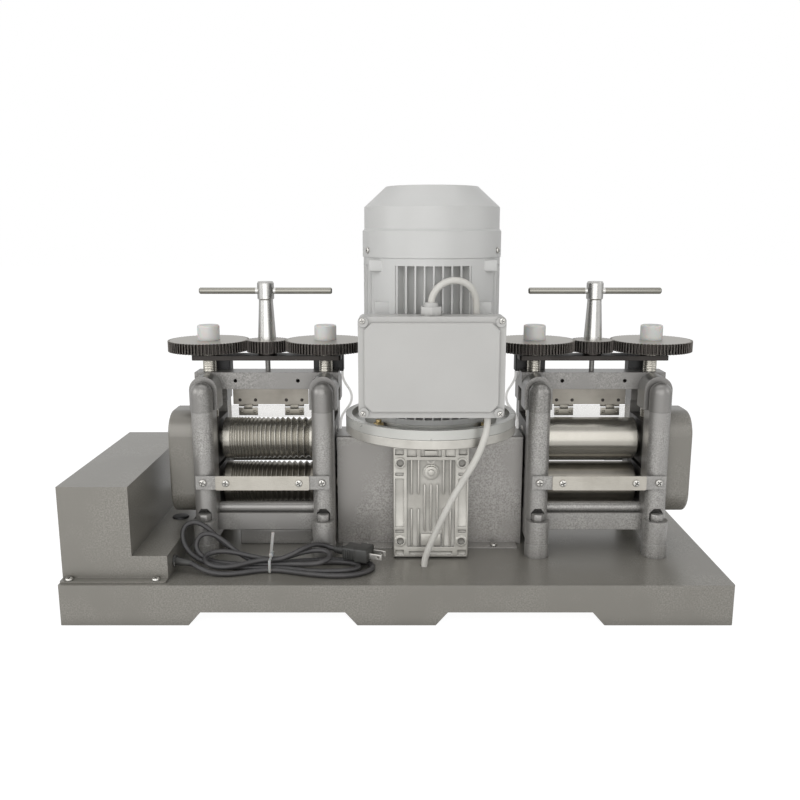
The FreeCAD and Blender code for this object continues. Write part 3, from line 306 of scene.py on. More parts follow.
@dataclass(frozen=True)
class Enamel(Coat):
    """Sprayed enamel with a faint orange peel and a little dust."""

    base: Colour
    dust: Colour
    gloss: float
    metal: float = 0.0
    recess_shade: float = 0.6

    def paint(self, graph: Graph) -> None:
        """Wire the shader.

        Args:
            graph: The material's nodes.
        """
        rounded = graph.rounded(0.0009)
        peel = graph.noise(650.0, 2.0)
        film = graph.noise(14.0, 5.0, 0.62)
        body = graph.mix(graph.level(film, 0.0, 0.35, 0.4, 0.75), self.base, self.dust)
        # Painted shade in the corners and recesses, in a dark copy of the dust colour.
        graph.surface(Base_Color=graph.painted_recess_shade(body, shaded(self.dust, 0.4), self.recess_shade, 0.012),
                      Metallic=self.metal,
                      Roughness=graph.level(film, self.gloss - 0.05, self.gloss + 0.12),
                      Coat_Weight=0.15, Coat_Roughness=0.2,
                      Normal=graph.relief(peel, 0.00006, 0.5, rounded))


@dataclass(frozen=True)
class Casting(Coat):
    """Thinly painted light-alloy casting with a sandy skin, painted shade in its recesses, and bright edges
    that are partly worn and partly painted highlight.
    """

    base: Colour
    bright: Colour
    metal: float = 0.6
    gloss: float = 0.4

    def paint(self, graph: Graph) -> None:
        """Wire the shader.

        Args:
            graph: The material's nodes.
        """
        rounded = graph.rounded(0.0009)
        sand = graph.noise(1400.0, 2.0, 0.7)
        film = graph.noise(30.0, 4.0)
        body = graph.mix(graph.level(film, 0.0, 0.5), self.base, self.bright)
        # Painted shade in the corners and recesses.
        body = graph.painted_recess_shade(body, shaded(self.base, 0.16), 0.9, 0.011)
        # Edges brightened: partly worn paint, partly painted highlight.
        graph.surface(Base_Color=graph.lit_and_worn_edges(body, rounded, 0.85, self.bright),
                      Metallic=self.metal, Roughness=graph.level(sand, self.gloss - 0.1, self.gloss + 0.12),
                      Normal=graph.relief(sand, 0.00009, 0.6, rounded))


class Lay(Enum):
    """The way that a machined surface's fine lines run, as the pattern's scale along each axis."""

    ROUND_X = (4200.0, 6.0, 6.0)
    ALONG_X = (24.0, 2600.0, 2600.0)
    NONE = (900.0, 900.0, 900.0)


@dataclass(frozen=True)
class Steel(Coat):
    """Machined steel with fine tool lines and thin oil smears."""

    base: Colour
    smear: Colour
    lay: Lay
    gloss: float
    spread: float = 0.1
    lines: float = 0.00002
    metal: float = 1.0
    recess_shade: float = 0.0

    def paint(self, graph: Graph) -> None:
        """Wire the shader.

        Args:
            graph: The material's nodes.
        """
        rounded = graph.rounded(0.0005)
        stretch = {"Vector": graph.place, "Scale": self.lay.value}
        streaks = graph.add("ShaderNodeMapping", stretch).outputs[0]
        lines = graph.noise(1.0, 3.0, 0.7, streaks)
        film = graph.noise(22.0, 4.0, 0.6)
        body = graph.mix(graph.level(film, 0.0, 0.6, 0.38, 0.72), self.base, self.smear)
        # Painted shade in the corners and recesses, as much as the finish asks for.
        body = graph.painted_recess_shade(body, tone(24, 23, 22), self.recess_shade, 0.003)
        # Edges mixed toward the clean base colour: partly rubbed wear, partly painted highlight.
        graph.surface(Base_Color=graph.lit_and_worn_edges(body, rounded, 0.6, self.base),
                      Metallic=self.metal,
                      Roughness=graph.level(lines, self.gloss - self.spread / 2, self.gloss + self.spread),
                      Normal=graph.relief(lines, self.lines, 0.5, rounded))


@dataclass(frozen=True)
class Zoned(Coat):
    """Two finishes on one piece, parted at a height; the lower one may carry a thread.

    The spans hold the lower part's value, then the upper part's. The split and the pitch are in metres.
    """

    split: float
    lower: Colour
    upper: Colour
    face: Colour
    metal: Span = (1.0, 0.85)
    gloss: Span = (0.3, 0.38)
    pitch: float = 0.0

    def paint(self, graph: Graph) -> None:
        """Wire the shader.

        Args:
            graph: The material's nodes.
        """
        rounded = graph.rounded(0.0006)
        height = graph.axis("Z")
        above = graph.maths("GREATER_THAN", height, self.split)
        film = graph.noise(24.0, 4.0, 0.6)
        low = graph.mix(graph.level(film, 0.0, 0.4), self.lower, shaded(self.lower, 0.6))
        high = graph.mix(graph.level(film, 0.0, 0.5), self.upper, shaded(self.upper, 0.5))
        # Painted shade in the upper part's corners and recesses.
        high = graph.painted_recess_shade(high, tone(26, 23, 21), 0.85, 0.003)
        # Level top faces take the face colour, partly bare turned metal and partly painted sheen from the
        # light above; the edges brighten toward it, partly wear and partly painted highlight.
        high = graph.mix(graph.facing_up(), high, self.face)
        high = graph.lit_and_worn_edges(high, rounded, 0.7, self.face)
        normal = graph.relief(graph.noise(1300.0, 2.0), 0.00003, 0.5, rounded)
        if self.pitch:
            ridge = graph.maths("SINE", graph.maths("MULTIPLY", height, 2 * math.pi / self.pitch))
            thread = graph.maths("MULTIPLY", ridge, graph.maths("SUBTRACT", above, 1.0))
            normal = graph.relief(thread, 0.00011, 1.0, normal)
        graph.surface(Base_Color=graph.mix(above, low, high),
                      Metallic=graph.level(above, *self.metal, 0.0, 1.0),
                      Roughness=graph.level(above, *self.gloss, 0.0, 1.0), Normal=normal)


@dataclass(frozen=True)
class HandleChrome(Coat):
    """Satin chrome of a T-handle in two painted tones: a lighter stem and hub as painted highlight, a
    darker cross bar as painted shade.
    """

    centre: float
    stem: Colour = tone(196, 195, 192)
    bar: Colour = tone(140, 138, 131)
    hub_reach: float = 0.0118
    gloss: float = 0.24

    def paint(self, graph: Graph) -> None:
        """Wire the shader.

        Args:
            graph: The material's nodes.
        """
        reach = graph.maths("ABSOLUTE", graph.maths("SUBTRACT", graph.axis("X"), self.centre))
        on_bar = graph.maths("GREATER_THAN", reach, self.hub_reach)
        film = graph.noise(22.0, 4.0, 0.6)
        # One chrome in two tones: the stem and hub painted lighter as highlight, the bar painted darker as
        # shade.
        graph.surface(Base_Color=graph.mix(on_bar, self.stem, self.bar), Metallic=1.0,
                      Roughness=graph.level(film, self.gloss, self.gloss + 0.05))


@dataclass(frozen=True)
class Plastic(Coat):
    """Moulded plastic with a fine spark-eroded grain."""

    base: Colour
    gloss: float = 0.4
    glow: float = 0.0
    grain: float = 2200.0
    depth: float = 0.00003

    def paint(self, graph: Graph) -> None:
        """Wire the shader.

        Args:
            graph: The material's nodes.
        """
        rounded = graph.rounded(0.0006)
        grain = graph.noise(self.grain, 2.0, 0.6)
        film = graph.noise(18.0, 3.0)
        body = graph.mix(graph.level(film, 0.0, 0.5), self.base, shaded(self.base, 0.9))
        # Painted shade in the corners and recesses.
        graph.surface(Base_Color=graph.painted_recess_shade(body, shaded(self.base, 0.35), 0.6, 0.006),
                      Roughness=graph.level(film, self.gloss - 0.04, self.gloss + 0.08),
                      Subsurface_Weight=self.glow, Subsurface_Scale=0.002,
                      Normal=graph.relief(grain, self.depth, 0.6, rounded))


@dataclass(frozen=True)
class ClearSheet(Coat):
    """Clear plastic sheet, hazed by handling."""

    tint: Colour
    cover: float = 0.22

    def paint(self, graph: Graph) -> None:
        """Wire the shader.

        Args:
            graph: The material's nodes.
        """
        haze = graph.noise(60.0, 4.0, 0.65)
        graph.surface(Base_Color=self.tint, Roughness=graph.level(haze, 0.08, 0.22),
                      Alpha=self.cover, IOR=1.49)


@dataclass(frozen=True)
class Sheath(Coat):
    """Flexible cable sheath: matt, with a soft sheen and faint dust."""

    base: Colour
    dust: Colour
    gloss: float = 0.36
    glow: float = 0.0

    def paint(self, graph: Graph) -> None:
        """Wire the shader.

        Args:
            graph: The material's nodes.
        """
        film = graph.noise(40.0, 4.0, 0.6)
        grain = graph.noise(1800.0, 2.0)
        # Emission is painted light: the sheath gives off light of its own so that a lead in shade still
        # shows pale.
        graph.surface(Base_Color=graph.mix(graph.level(film, 0.0, 0.4, 0.4, 0.8), self.base, self.dust),
                      Roughness=graph.level(film, self.gloss - 0.06, self.gloss + 0.1),
                      Emission_Color=self.base, Emission_Strength=self.glow,
                      Normal=graph.relief(grain, 0.00004, 0.5))


class Finishes:
    """Every finish of the machine, made once and shared; numbers that aren't given are the finish's own."""

    def __init__(self) -> None:
        """Make the materials, and note which solids wear each of them."""
        self.worn: dict[str, Finish] = {}
        self.paints()
        self.metals()
        self.plastics()

    def made(self, coat: Coat, solids: str) -> Finish:
        """Make one material and note the solids that wear it.

        Args:
            coat: The finish.
            solids: The solids' names, parted by spaces.

        Returns:
            The material.
        """
        finish = coat.material()
        self.worn.update(dict.fromkeys(solids.split(), finish))
        return finish

    def paints(self) -> None:
        """Make the paints of the sheet metal, the castings and the motor."""
        self.made(Hammertone("base_enamel", tone(128, 125, 118), tone(145, 142, 135), tone(120, 117, 110),
                             dimple=560.0, depth=0.00002, metal=0.25, gloss=0.34),
                  "base_pan step_cover gear_covers")
        # The coupling covers wear a lighter copy of the base paint: painted light against the shade under
        # the motor flange.
        self.made(Hammertone("lit_cover_enamel", tone(155, 152, 148), tone(182, 179, 175), tone(142, 139, 135),
                             dimple=560.0, metal=0.3, gloss=0.34), "coupling_covers")
        self.frame_paint = self.made(
            Hammertone("hammertone", tone(150, 148, 145), tone(176, 174, 170), tone(136, 134, 131)),
            "strap_brackets tie_bars left_side_frames right_side_frames")
        # The crowns wear a darker copy of the frames' paint: painted shade, as they face the front lamp
        # fully.
        self.made(Hammertone("shaded_crown_hammertone", tone(132, 130, 127), tone(156, 154, 150),
                             tone(119, 117, 114)), "left_crown right_crown")
        self.motor_paint = self.made(
            Enamel("motor_enamel", tone(198, 198, 196), tone(186, 186, 183), gloss=0.34, recess_shade=0.0),
            "motor_housing fan_cowl")
        self.made(Enamel("flange_enamel", tone(195, 195, 190), tone(178, 177, 172), gloss=0.3, metal=0.35),
                  "motor_flange")

    def metals(self) -> None:
        """Make the bare and the plated metals."""
        self.alloy = self.made(Casting("gearbox_alloy", tone(178, 175, 168), tone(230, 228, 221)),
                               "gearbox_housing input_flange")
        self.made(Steel("roll_steel", tone(174, 171, 163), tone(162, 158, 149), Lay.ROUND_X,
                        gloss=0.26, spread=0.0, lines=0.0, metal=0.85),
                  "grooved_upper_roll smooth_upper_roll")
        # The lower rolls wear a darker copy of the roll steel: painted shade from the strap in front of
        # them.
        self.made(Steel("shaded_lower_roll_steel", tone(140, 136, 128), tone(108, 103, 95), Lay.ROUND_X,
                        gloss=0.28, spread=0.0, lines=0.0, metal=0.9),
                  "grooved_lower_roll smooth_lower_roll")
        self.made(Steel("chock_steel", tone(92, 90, 88), tone(62, 60, 58), Lay.NONE, gloss=0.42),
                  "lower_chocks left_upper_chocks right_upper_chocks")
        self.made(Zoned("pinion_steel", -1.0, tone(80, 76, 74), tone(80, 75, 72), tone(158, 154, 148)),
                  "stator rotor_shaft left_pinion right_pinion")
        self.made(Zoned("screw_and_gear_steel", 0.2795, tone(205, 201, 191), tone(72, 66, 62),
                        tone(176, 173, 166), metal=(0.85, 0.8), gloss=(0.24, 0.36), pitch=0.002),
                  "left_outer_screw left_inner_screw right_outer_screw right_inner_screw")
        self.dark_bar = self.made(
            Steel("gear_bar_steel", tone(66, 63, 61), tone(46, 44, 42), Lay.ALONG_X, gloss=0.42),
            "left_gear_bar right_gear_bar")
        self.made(Steel("bright_steel", tone(184, 180, 171), tone(150, 145, 136), Lay.ALONG_X,
                        gloss=0.3, spread=0.14), "cross_shaft shaft_couplings front_straps")
        self.made(Steel("guard_steel", tone(146, 142, 134), tone(108, 103, 96), Lay.ALONG_X,
                        gloss=0.38, spread=0.12), "guard_plates")
        # Leaf steel for the guard's hinge leaves, and as painted shade for the rear straps behind the
        # rolls.
        self.leaf_and_shaded_strap_steel = self.made(
            Steel("leaf_steel", tone(150, 146, 137), tone(116, 112, 104), Lay.ALONG_X, gloss=0.4), "")
        for side, centre in HEAD_CENTRES.items():
            self.made(HandleChrome(f"{side}_handle_chrome", centre * MM), f"{side}_handle")
        # The fasteners carry heavy painted shade round their heads and in their cross recesses.
        self.fasteners = self.made(
            Steel("zinc_fasteners", tone(212, 210, 205), tone(166, 163, 157), Lay.NONE,
                  gloss=0.3, lines=0.0, metal=0.85, recess_shade=0.95), "panel_screws")
        self.bolts = self.made(
            Zoned("bolt_finish", 0.15, tone(142, 140, 136), tone(166, 148, 108), tone(182, 164, 122),
                  metal=(0.35, 1.0), gloss=(0.38, 0.34)), "hexagon_bolts")
        self.made(Steel("bearing_bronze", tone(160, 140, 104), tone(112, 96, 70), Lay.NONE, gloss=0.4),
                  "worm_wheel")

    def plastics(self) -> None:
        """Make the mouldings, the clear sheet and the cables' sheaths."""
        self.made(Plastic("cap_plastic", tone(217, 216, 213), gloss=0.36, glow=0.33),
                  "left_outer_cap left_inner_cap right_outer_cap right_inner_cap")
        self.made(Plastic("box_plastic", tone(188, 187, 184)), "control_box control_box_lid")
        self.gland = self.made(Plastic("gland_plastic", tone(196, 195, 192)), "cable_glands")
        self.black = self.made(Plastic("black_plastic", tone(40, 40, 41), gloss=0.42),
                               "cooling_fan switch_blocks")
        self.plug = self.made(Plastic("plug_plastic", tone(64, 64, 62), gloss=0.42), "mains_plug")
        self.nylon = self.made(Plastic("tie_nylon", tone(176, 176, 174), gloss=0.35, glow=0.1), "cord_tie")
        self.made(ClearSheet("clear_sheet", tone(232, 227, 218)), "left_guard_flap right_guard_flap")
        self.black_sheath = self.made(
            Sheath("black_sheath", tone(58, 57, 58), tone(98, 96, 94), gloss=0.45), "mains_lead mains_hank")
        self.made(Sheath("grey_sheath", tone(206, 204, 198), tone(178, 176, 169)), "motor_lead supply_lead")
        # The switch leads glow as painted light, to keep them pale in their shade.
        self.made(Sheath("switch_sheath", tone(244, 243, 240), tone(226, 225, 221), glow=0.35),
                  "switch_leads")

    def dress_solids(self) -> None:
        """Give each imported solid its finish."""
        for name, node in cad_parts.items():
            node.data.materials.clear()
            node.data.materials.append(self.worn[name])
            LOG.info("%s: %s", name, self.worn[name].name)


class Shop:
    """The bench tools that shape every added piece; places and sizes are in millimetres."""

    @staticmethod
    def alone(piece: Piece) -> None:
        """Select one object and nothing else.

        Args:
            piece: The object.
        """
        bpy.ops.object.select_all(action="DESELECT")
        piece.select_set(True)
        bpy.context.view_layer.objects.active = piece

    @staticmethod
    def shaped(name: str, soft: float, segments: int) -> Piece:
        """Name the shape that was just added, fix its place, turn and size, and soften its edges.

        Args:
            name: Its name.
            soft: The width of its rounded edges; 0 leaves them sharp.
            segments: How many steps go round an edge.

        Returns:
            The shape.
        """
        piece = bpy.context.object
        piece.name = name
        Shop.alone(piece)
        bpy.ops.object.transform_apply(location=True, rotation=True, scale=True)
        if soft:
            bevel = piece.modifiers.new("soft", "BEVEL")
            bevel.width = soft * MM
            bevel.segments = segments
            bevel.limit_method = "ANGLE"
            bevel.angle_limit = math.radians(35)
            bpy.ops.object.modifier_apply(modifier="soft")
        return piece

    @staticmethod
    def block(name: str, low: Point, high: Point, soft: float = 0.4, segments: int = 3) -> Piece:
        """Shape a block between two corners.

        Args:
            name: The block's name.
            low: Its left, front, lower corner.
            high: Its right, rear, upper corner.
            soft: The width of its rounded edges.
            segments: How many steps go round an edge.

        Returns:
            The block.
        """
        bpy.ops.mesh.primitive_cube_add(size=1.0, location=(metres(*low) + metres(*high)) / 2)
        bpy.context.object.scale = metres(*high) - metres(*low)
        return Shop.shaped(name, soft, segments)

    @staticmethod
    def spun(name: str, start: Point, end: Point, first: float, last: float | None = None,
             sides: int = 40, soft: float = 0.15) -> Piece:
        """Turn a round bar, a cone or a prism between two points.

        Args:
            name: The piece's name.
            start: The centre of its first end.
            end: The centre of its last end.
            first: The radius at the start.
            last: The radius at the end, where it isn't the same.
            sides: How many flat sides go round it.
            soft: The width of its rounded edges.

        Returns:
            The piece.
        """
        low, high = metres(*start), metres(*end)
        far = first if last is None else last
        bpy.ops.mesh.primitive_cone_add(vertices=sides, radius1=first * MM, radius2=far * MM,
                                        depth=(high - low).length, location=(low + high) / 2)
        bpy.context.object.rotation_euler = (high - low).to_track_quat("Z", "Y").to_euler()
        return Shop.shaped(name, soft, 2)

    @staticmethod
    def cut(piece: Piece, tool: Piece) -> None:
        """Take a tool's shape out of a piece, and the tool away.

        Args:
            piece: The piece to cut.
            tool: The shape to take out of it.
        """
        boolean = piece.modifiers.new("cut", "BOOLEAN")
        boolean.operation = "DIFFERENCE"
        boolean.object = tool
        Shop.alone(piece)
        bpy.ops.object.modifier_apply(modifier="cut")
        bpy.data.objects.remove(tool)

    @staticmethod
    def joined(first: Piece, *others: Piece) -> Piece:
        """Put several shapes into one object.

        Args:
            first: The shape that keeps its name.
            *others: The shapes that go into it.

        Returns:
            The first shape, with the others in it.
        """
        Shop.alone(first)
        for other in others:
            other.select_set(True)
        bpy.ops.object.join()
        return first

    @staticmethod
    def turned(piece: Piece, axis: str, degrees: float, centre: Point) -> None:
        """Turn a piece about a point.

        Args:
            piece: The piece.
            axis: The axis that it turns about, "X", "Y" or "Z".
            degrees: The angle.
            centre: The point that stays where it is.
        """
        turn = Matrix.Rotation(math.radians(degrees), 4, axis)
        home = Matrix.Translation(metres(*centre))
        piece.data.transform(home @ turn @ home.inverted())

    @staticmethod
    def fitted(piece: Piece, finish: Finish, body: str, slot: str) -> Piece:
        """Smooth a finished piece, give it its finish and let it ride with a body.

        Args:
            piece: The piece.
            finish: Its material.
            body: The body that carries it.
            slot: A material slot's name; not used.

        Returns:
            The same piece.
        """
        Shop.alone(piece)
        bpy.ops.object.shade_smooth_by_angle(angle=math.radians(40))
        piece.data.materials.clear()
        piece.data.materials.append(finish)
        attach(piece, body)
        LOG.info("%s fitted", piece.name)
        return piece


@dataclass
class Fasteners:
    """Pan-head screws with a cross recess, in place of the plain heads of the solids."""

    finishes: Finishes
    radius: float = 4.5
    rise: float = 2.5
    crown: float = 0.82
    recess: Span = (2.9, 0.6)
    floor: float = 0.7
    turn_step: int = 37
    cowl_radius: float = 77.0

    def head(self) -> Piece:
        """Shape one head that stands on the origin.

        Returns:
            The head.
        """
        piece = Shop.spun("panel_screws", (0.0, 0.0, 0.0), (0.0, 0.0, self.rise), self.radius,
                          self.radius * self.crown, 36, 0.9)
        long, short = self.recess
        for wide, deep in ((long, short), (short, long)):
            Shop.cut(piece, Shop.block("recess", (-wide, -deep, self.floor), (wide, deep, 4.0), 0.0))
        return piece

    def places(self) -> list[tuple[Point, Point, float]]:
        """List the screws of the covers, the lid, the fan cowl and the straps.

        Returns:
            Every screw's seat, outward direction and size.
        """
        up, ahead, behind = (0, 0, 1), (0, -1, 0), (0, 1, 0)
        seats = [((x, -139.5, 48.0), up, 1.0) for x in (-355.0, -261.0)]
        seats += [((x, -35.5, 48.0), up, 1.0) for x in (MOTOR_X - 77, MOTOR_X + 77)]
        seats += [((x, -146.8, z), ahead, 0.7) for x in (-34.4, 107.4) for z in (233.4, 329.8)]
        for degrees in (25, 155, 205, 335):
            out = (math.cos(math.radians(degrees)), math.sin(math.radians(degrees)), 0.0)
            seat = (MOTOR_X + self.cowl_radius * out[0], MOTOR_Y + self.cowl_radius * out[1], 398.5)
            seats.append((seat, out, 0.8))
        for centre in HEAD_CENTRES.values():
            for away, z, out in ((-1, 135.0, ahead), (1, 134.3, behind)):
                seats += [((centre + x, away * 67.6, z), out, 1.0) for x in (-42.0, 42.0)]
                seats += [((centre + x, away * 66.1, z), out, 1.0) for x in (-68.5, 68.5)]
        return seats

    def build(self) -> None:
        """Set a head at every place, each turned by its own angle."""
        pattern = self.head()
        heads = []
        for number, (seat, out, size) in enumerate(self.places()):
            stand = Vector(out).to_track_quat("Z", "Y").to_matrix().to_4x4()
            spin = Matrix.Rotation(math.radians(self.turn_step * number % 90), 4, "Z")
            head = bpy.data.objects.new(pattern.name, pattern.data.copy())
            head.data.transform(Matrix.Translation(metres(*seat)) @ stand @ spin @ Matrix.Scale(size, 4))
            bpy.context.scene.collection.objects.link(head)
            heads.append(head)
        bpy.data.objects.remove(pattern)
        piece = Shop.joined(*heads)
        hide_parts("panel_screws")
        Shop.fitted(piece, self.finishes.fasteners, MACHINE, "bright_steel")


@dataclass
class FingerGuard:
    """The hinge leaves and small screws of one head's clear finger guard."""

    finishes: Finishes
    side: str
    spread: float = 28.3
    hinge: Span = (18.0, 209.5)
    barrel: Span = (5.15, 2.35)
    sheet: Span = (15.5, 15.82)

    def build(self) -> None:
        """Fit the steel leaves over the flap's hinges, and the screws of both leaves."""
        centre = HEAD_CENTRES[self.side]
        leaves = []
        dots = []
        for middle in (centre - self.spread, centre + self.spread):
            leaves += self.leaf(middle)
            dots += self.plate_screws(middle)
        Shop.fitted(Shop.joined(*leaves), self.finishes.leaf_and_shaded_strap_steel, self.side + "_guard", "bright_steel")
        Shop.fitted(Shop.joined(*dots), self.finishes.dark_bar, MACHINE, "bright_steel")

    def leaf(self, middle: float) -> list[Piece]:
        """Shape the leaf on the flap, with its web, its barrel and its two screws.

        Args:
            middle: The hinge's place along the guard.

        Returns:
            The leaf's shapes.
        """
        front, back = self.sheet
        y, z = self.hinge
        half, radius = self.barrel
        shapes = [Shop.block(name, (middle - wide, front, low), (middle + wide, back, high), 0.1)
                  for name, wide, low, high in (("hinge_leaf", 11.6, 196.9, 206.6),
                                                ("hinge_web", 5.1, 205.0, 209.5))]
        shapes.append(Shop.spun("hinge_barrel", (middle - half, y, z), (middle + half, y, z), radius))
        for x in (middle - 8.0, middle + 8.0):
            shapes.append(Shop.spun("leaf_screw", (x, 15.6, 201.6), (x, 14.7, 201.6), 1.9, 1.3, 24))
        return shapes

    def plate_screws(self, middle: float) -> list[Piece]:
        """Shape the two screws above a hinge, in the fixed plate."""
        return [Shop.spun("plate_screw", (x, 14.1, 216.2), (x, 13.0, 216.2), 2.1, 1.5, 24)
                for x in (middle - 9.5, middle + 9.5)]


@dataclass
class RearStrap:
    """The plain strap across the rear columns of one head, with its two brackets."""

    finishes: Finishes
    side: str
    near: float = 63.6
    back: float = 66.1
    rear: float = 67.6
    half: float = 54.0
    bracket: Span = (36.0, 77.0)
    span: Span = (125.9, 142.7)
    margin: float = 0.4

    def build(self) -> None:
        """Fit the strap across the columns, and the brackets that hold it."""
        centre = HEAD_CENTRES[self.side]
        low, high = self.span
        inner, outer = self.bracket
        strap = Shop.block("rear_strap", (centre - self.half, self.back, low),
                           (centre + self.half, self.rear, high))
        # The rear strap wears the duller leaf steel, not the front strap's bright steel: painted shade
        # behind the rolls.
        Shop.fitted(strap, self.finishes.leaf_and_shaded_strap_steel, MACHINE, "bright_steel")
        ends = [Shop.block("rear_bracket", (centre + left, self.near, low + self.margin),
                           (centre + right, self.back, high - self.margin))
                for left, right in ((-outer, -inner), (inner, outer))]
        Shop.fitted(Shop.joined(*ends), self.finishes.frame_paint, MACHINE, "frame_paint")


@dataclass
class GearboxFace:
    """The cast front of the worm gearbox: corner pads, sunk fields, ribs, oil plug and bolt holes."""

    finishes: Finishes
    face: float = -69.0
    thick: float = 3.4
    half: float = 43.0
    ends: Span = (47.0, 190.0)
    holes: Span = (67.0, 160.5)
    hole_offset: float = 35.2
    bore: float = 4.3
    field_depth: float = 2.6
    plug: float = 149.3

    @property
    def front(self) -> float:
        """Return the depth at which the plate's front lies."""
        return self.face - self.thick

    def build(self) -> None:
        """Cast the plate, sink its fields and raise the ribs in them."""
        low, high = self.ends
        plate = Shop.block("gearbox_face", (MOTOR_X - self.half, self.front, low),
                           (MOTOR_X + self.half, self.face + 0.3, high), 1.0)
        sunk = self.fields()
        sunk += [Shop.spun("hole", (x, self.face - 9, z), (x, self.face - 0.2, z), self.bore)
                 for x, z in self.hole_places()]
        Shop.cut(plate, Shop.joined(*sunk))
        piece = Shop.joined(plate, *self.ribs(), *self.rims(), *self.oil_plug())
        Shop.fitted(piece, self.finishes.alloy, MACHINE, "gearbox_alloy")

    def hole_places(self) -> list[Span]:
        """Return the places of the four bolt holes, across and up."""
        return [(MOTOR_X + side * self.hole_offset, z) for side in (-1, 1) for z in self.holes]

    def slab(self, name: str, across: Span, up: Span, deep: Span, soft: float) -> Piece:
        """Shape a block from its spans across the motor's axis, up, and from front to back."""
        low, high = zip(across, deep, up)
        return Shop.block(name, (MOTOR_X + low[0], *low[1:]), (MOTOR_X + high[0], *high[1:]), soft, 2)

    def fields(self) -> list[Piece]:
        """Shape the cutters of the sunk fields.

        Returns:
            The cutters.
        """
        spots = [(-27.6, 27.6, 60.0, 163.8, 2.6), (-27.6, 27.6, 167.6, 184.0, 2.6),
                 (-25.0, 25.0, 50.4, 54.6, 1.8)]
        for left, right in ((-41.0, -31.0), (31.0, 41.0)):
            spots += [(left, right, *rest) for rest in (
                (84.0, 142.0, 1.5), (169.6, 176.6, 2.6), (145.4, 149.0, 2.0), (77.0, 80.8, 2.0),
                (49.6, 56.2, 2.0))]
        return [self.slab("field", (left, right), (low, high), (self.front - 5, self.front + depth), 0.7)
                for left, right, low, high, depth in spots]

    def ribs(self) -> list[Piece]:
        """Raise the ribs from the floor of the sunk field.

        Returns:
            The ribs.
        """
        bars = [(side * x, 1.8, low, high, 2.6) for side in (-1, 1) for x in (14.2, 22.2)
                for low, high in ((61.0, 106.0), (123.0, 164.0))]
        bars += [(x, 1.7, 79.0, 135.0, 2.4) for x in (-7.2, 0.0, 7.2)]
        bars += [(0.0, 23.0, 61.0, 75.5, 2.0), (0.0, 15.0, 169.0, 175.0, 2.6)]
        bars += [(side * 14.0, 4.4, 167.0, 184.0, 2.4) for side in (-1, 1)]
        floor = self.front + self.field_depth
        return [self.slab("rib", (middle - width / 2, middle + width / 2), (low, high),
                          (floor - height, floor + 0.4), 0.5)
                for middle, width, low, high, height in bars]

    def rims(self) -> list[Piece]:
        """Shape the raised rims of the bolt holes.

        Returns:
            The four rims.
        """
        pieces = []
        for x, z in self.hole_places():
            rim = Shop.spun("hole_rim", (x, self.front + 0.3, z), (x, self.front - 0.9, z), 6.6, 6.2)
            Shop.cut(rim, Shop.spun("bore", (x, self.front + 3, z), (x, self.front - 3, z), self.bore))
            pieces.append(rim)
        return pieces

    def oil_plug(self) -> list[Piece]:
        """Shape the oil plug: a boss, a collar and a hexagon.

        Returns:
            The three shapes.
        """
        floor = self.front + self.field_depth
        return [Shop.spun("oil_plug", (MOTOR_X, self.front + 3, self.plug),
                          (MOTOR_X, floor - height, self.plug), radius, sides=sides, soft=0.5)
                for radius, height, sides in ((9.2, 1.4, 40), (7.4, 3.2, 40), (4.2, 4.6, 6))]


@dataclass
class MotorTrim:
    """Small pieces round the motor: its upper lugs, its flange's bolt heads and its lead's gland nut."""

    finishes: Finishes
    lug_span: Span = (47.0, 68.5)
    bolt_circle: float = 83.0
    gland: Span = (36.0, -128.0)

    def build(self) -> None:
        """Cast the lugs, set the bolt heads and screw the nut on its gland."""
        self.lugs()
        self.bolts()
        self.gland_nut()

    def lugs(self) -> None:
        """Cast the two upper lugs of the motor's body."""
        near, far = self.lug_span
        lugs = [Shop.block("motor_lug", (MOTOR_X + low, MOTOR_Y - 53.0, 376.5),
                           (MOTOR_X + high, MOTOR_Y - 30.0, 389.0), 2.0)
                for low, high in ((-far, -near), (near, far))]
        Shop.fitted(Shop.joined(*lugs), self.finishes.motor_paint, MACHINE, "motor_paint")

    def bolts(self) -> None:
        """Set a hexagon head and the end of its stud at each of the flange's four bolts."""
        heads = []
        for degrees in (45, 135, 225, 315):
            turn = math.radians(degrees)
            x = MOTOR_X + self.bolt_circle * math.cos(turn)
            y = MOTOR_Y + self.bolt_circle * math.sin(turn)
            heads.append(Shop.spun("flange_bolt", (x, y, 206.3), (x, y, 213.6), 6.4, sides=6, soft=0.5))
            heads.append(Shop.spun("flange_stud", (x, y, 212.0), (x, y, 217.2), 3.4, 3.2, 24, 0.4))
        Shop.fitted(Shop.joined(*heads), self.finishes.bolts, MACHINE, "bright_steel")

    def gland_nut(self) -> None:
        """Screw the hexagon nut on the motor lead's gland."""
        nut = Shop.spun("gland_nut", (*self.gland, 334.1), (*self.gland, 343.0), 12.0, sides=6, soft=0.7)
        Shop.cut(nut, Shop.spun("gland_bore", (*self.gland, 330.0), (*self.gland, 350.0), 9.0))
        Shop.fitted(nut, self.finishes.gland, MACHINE, "black_plastic")


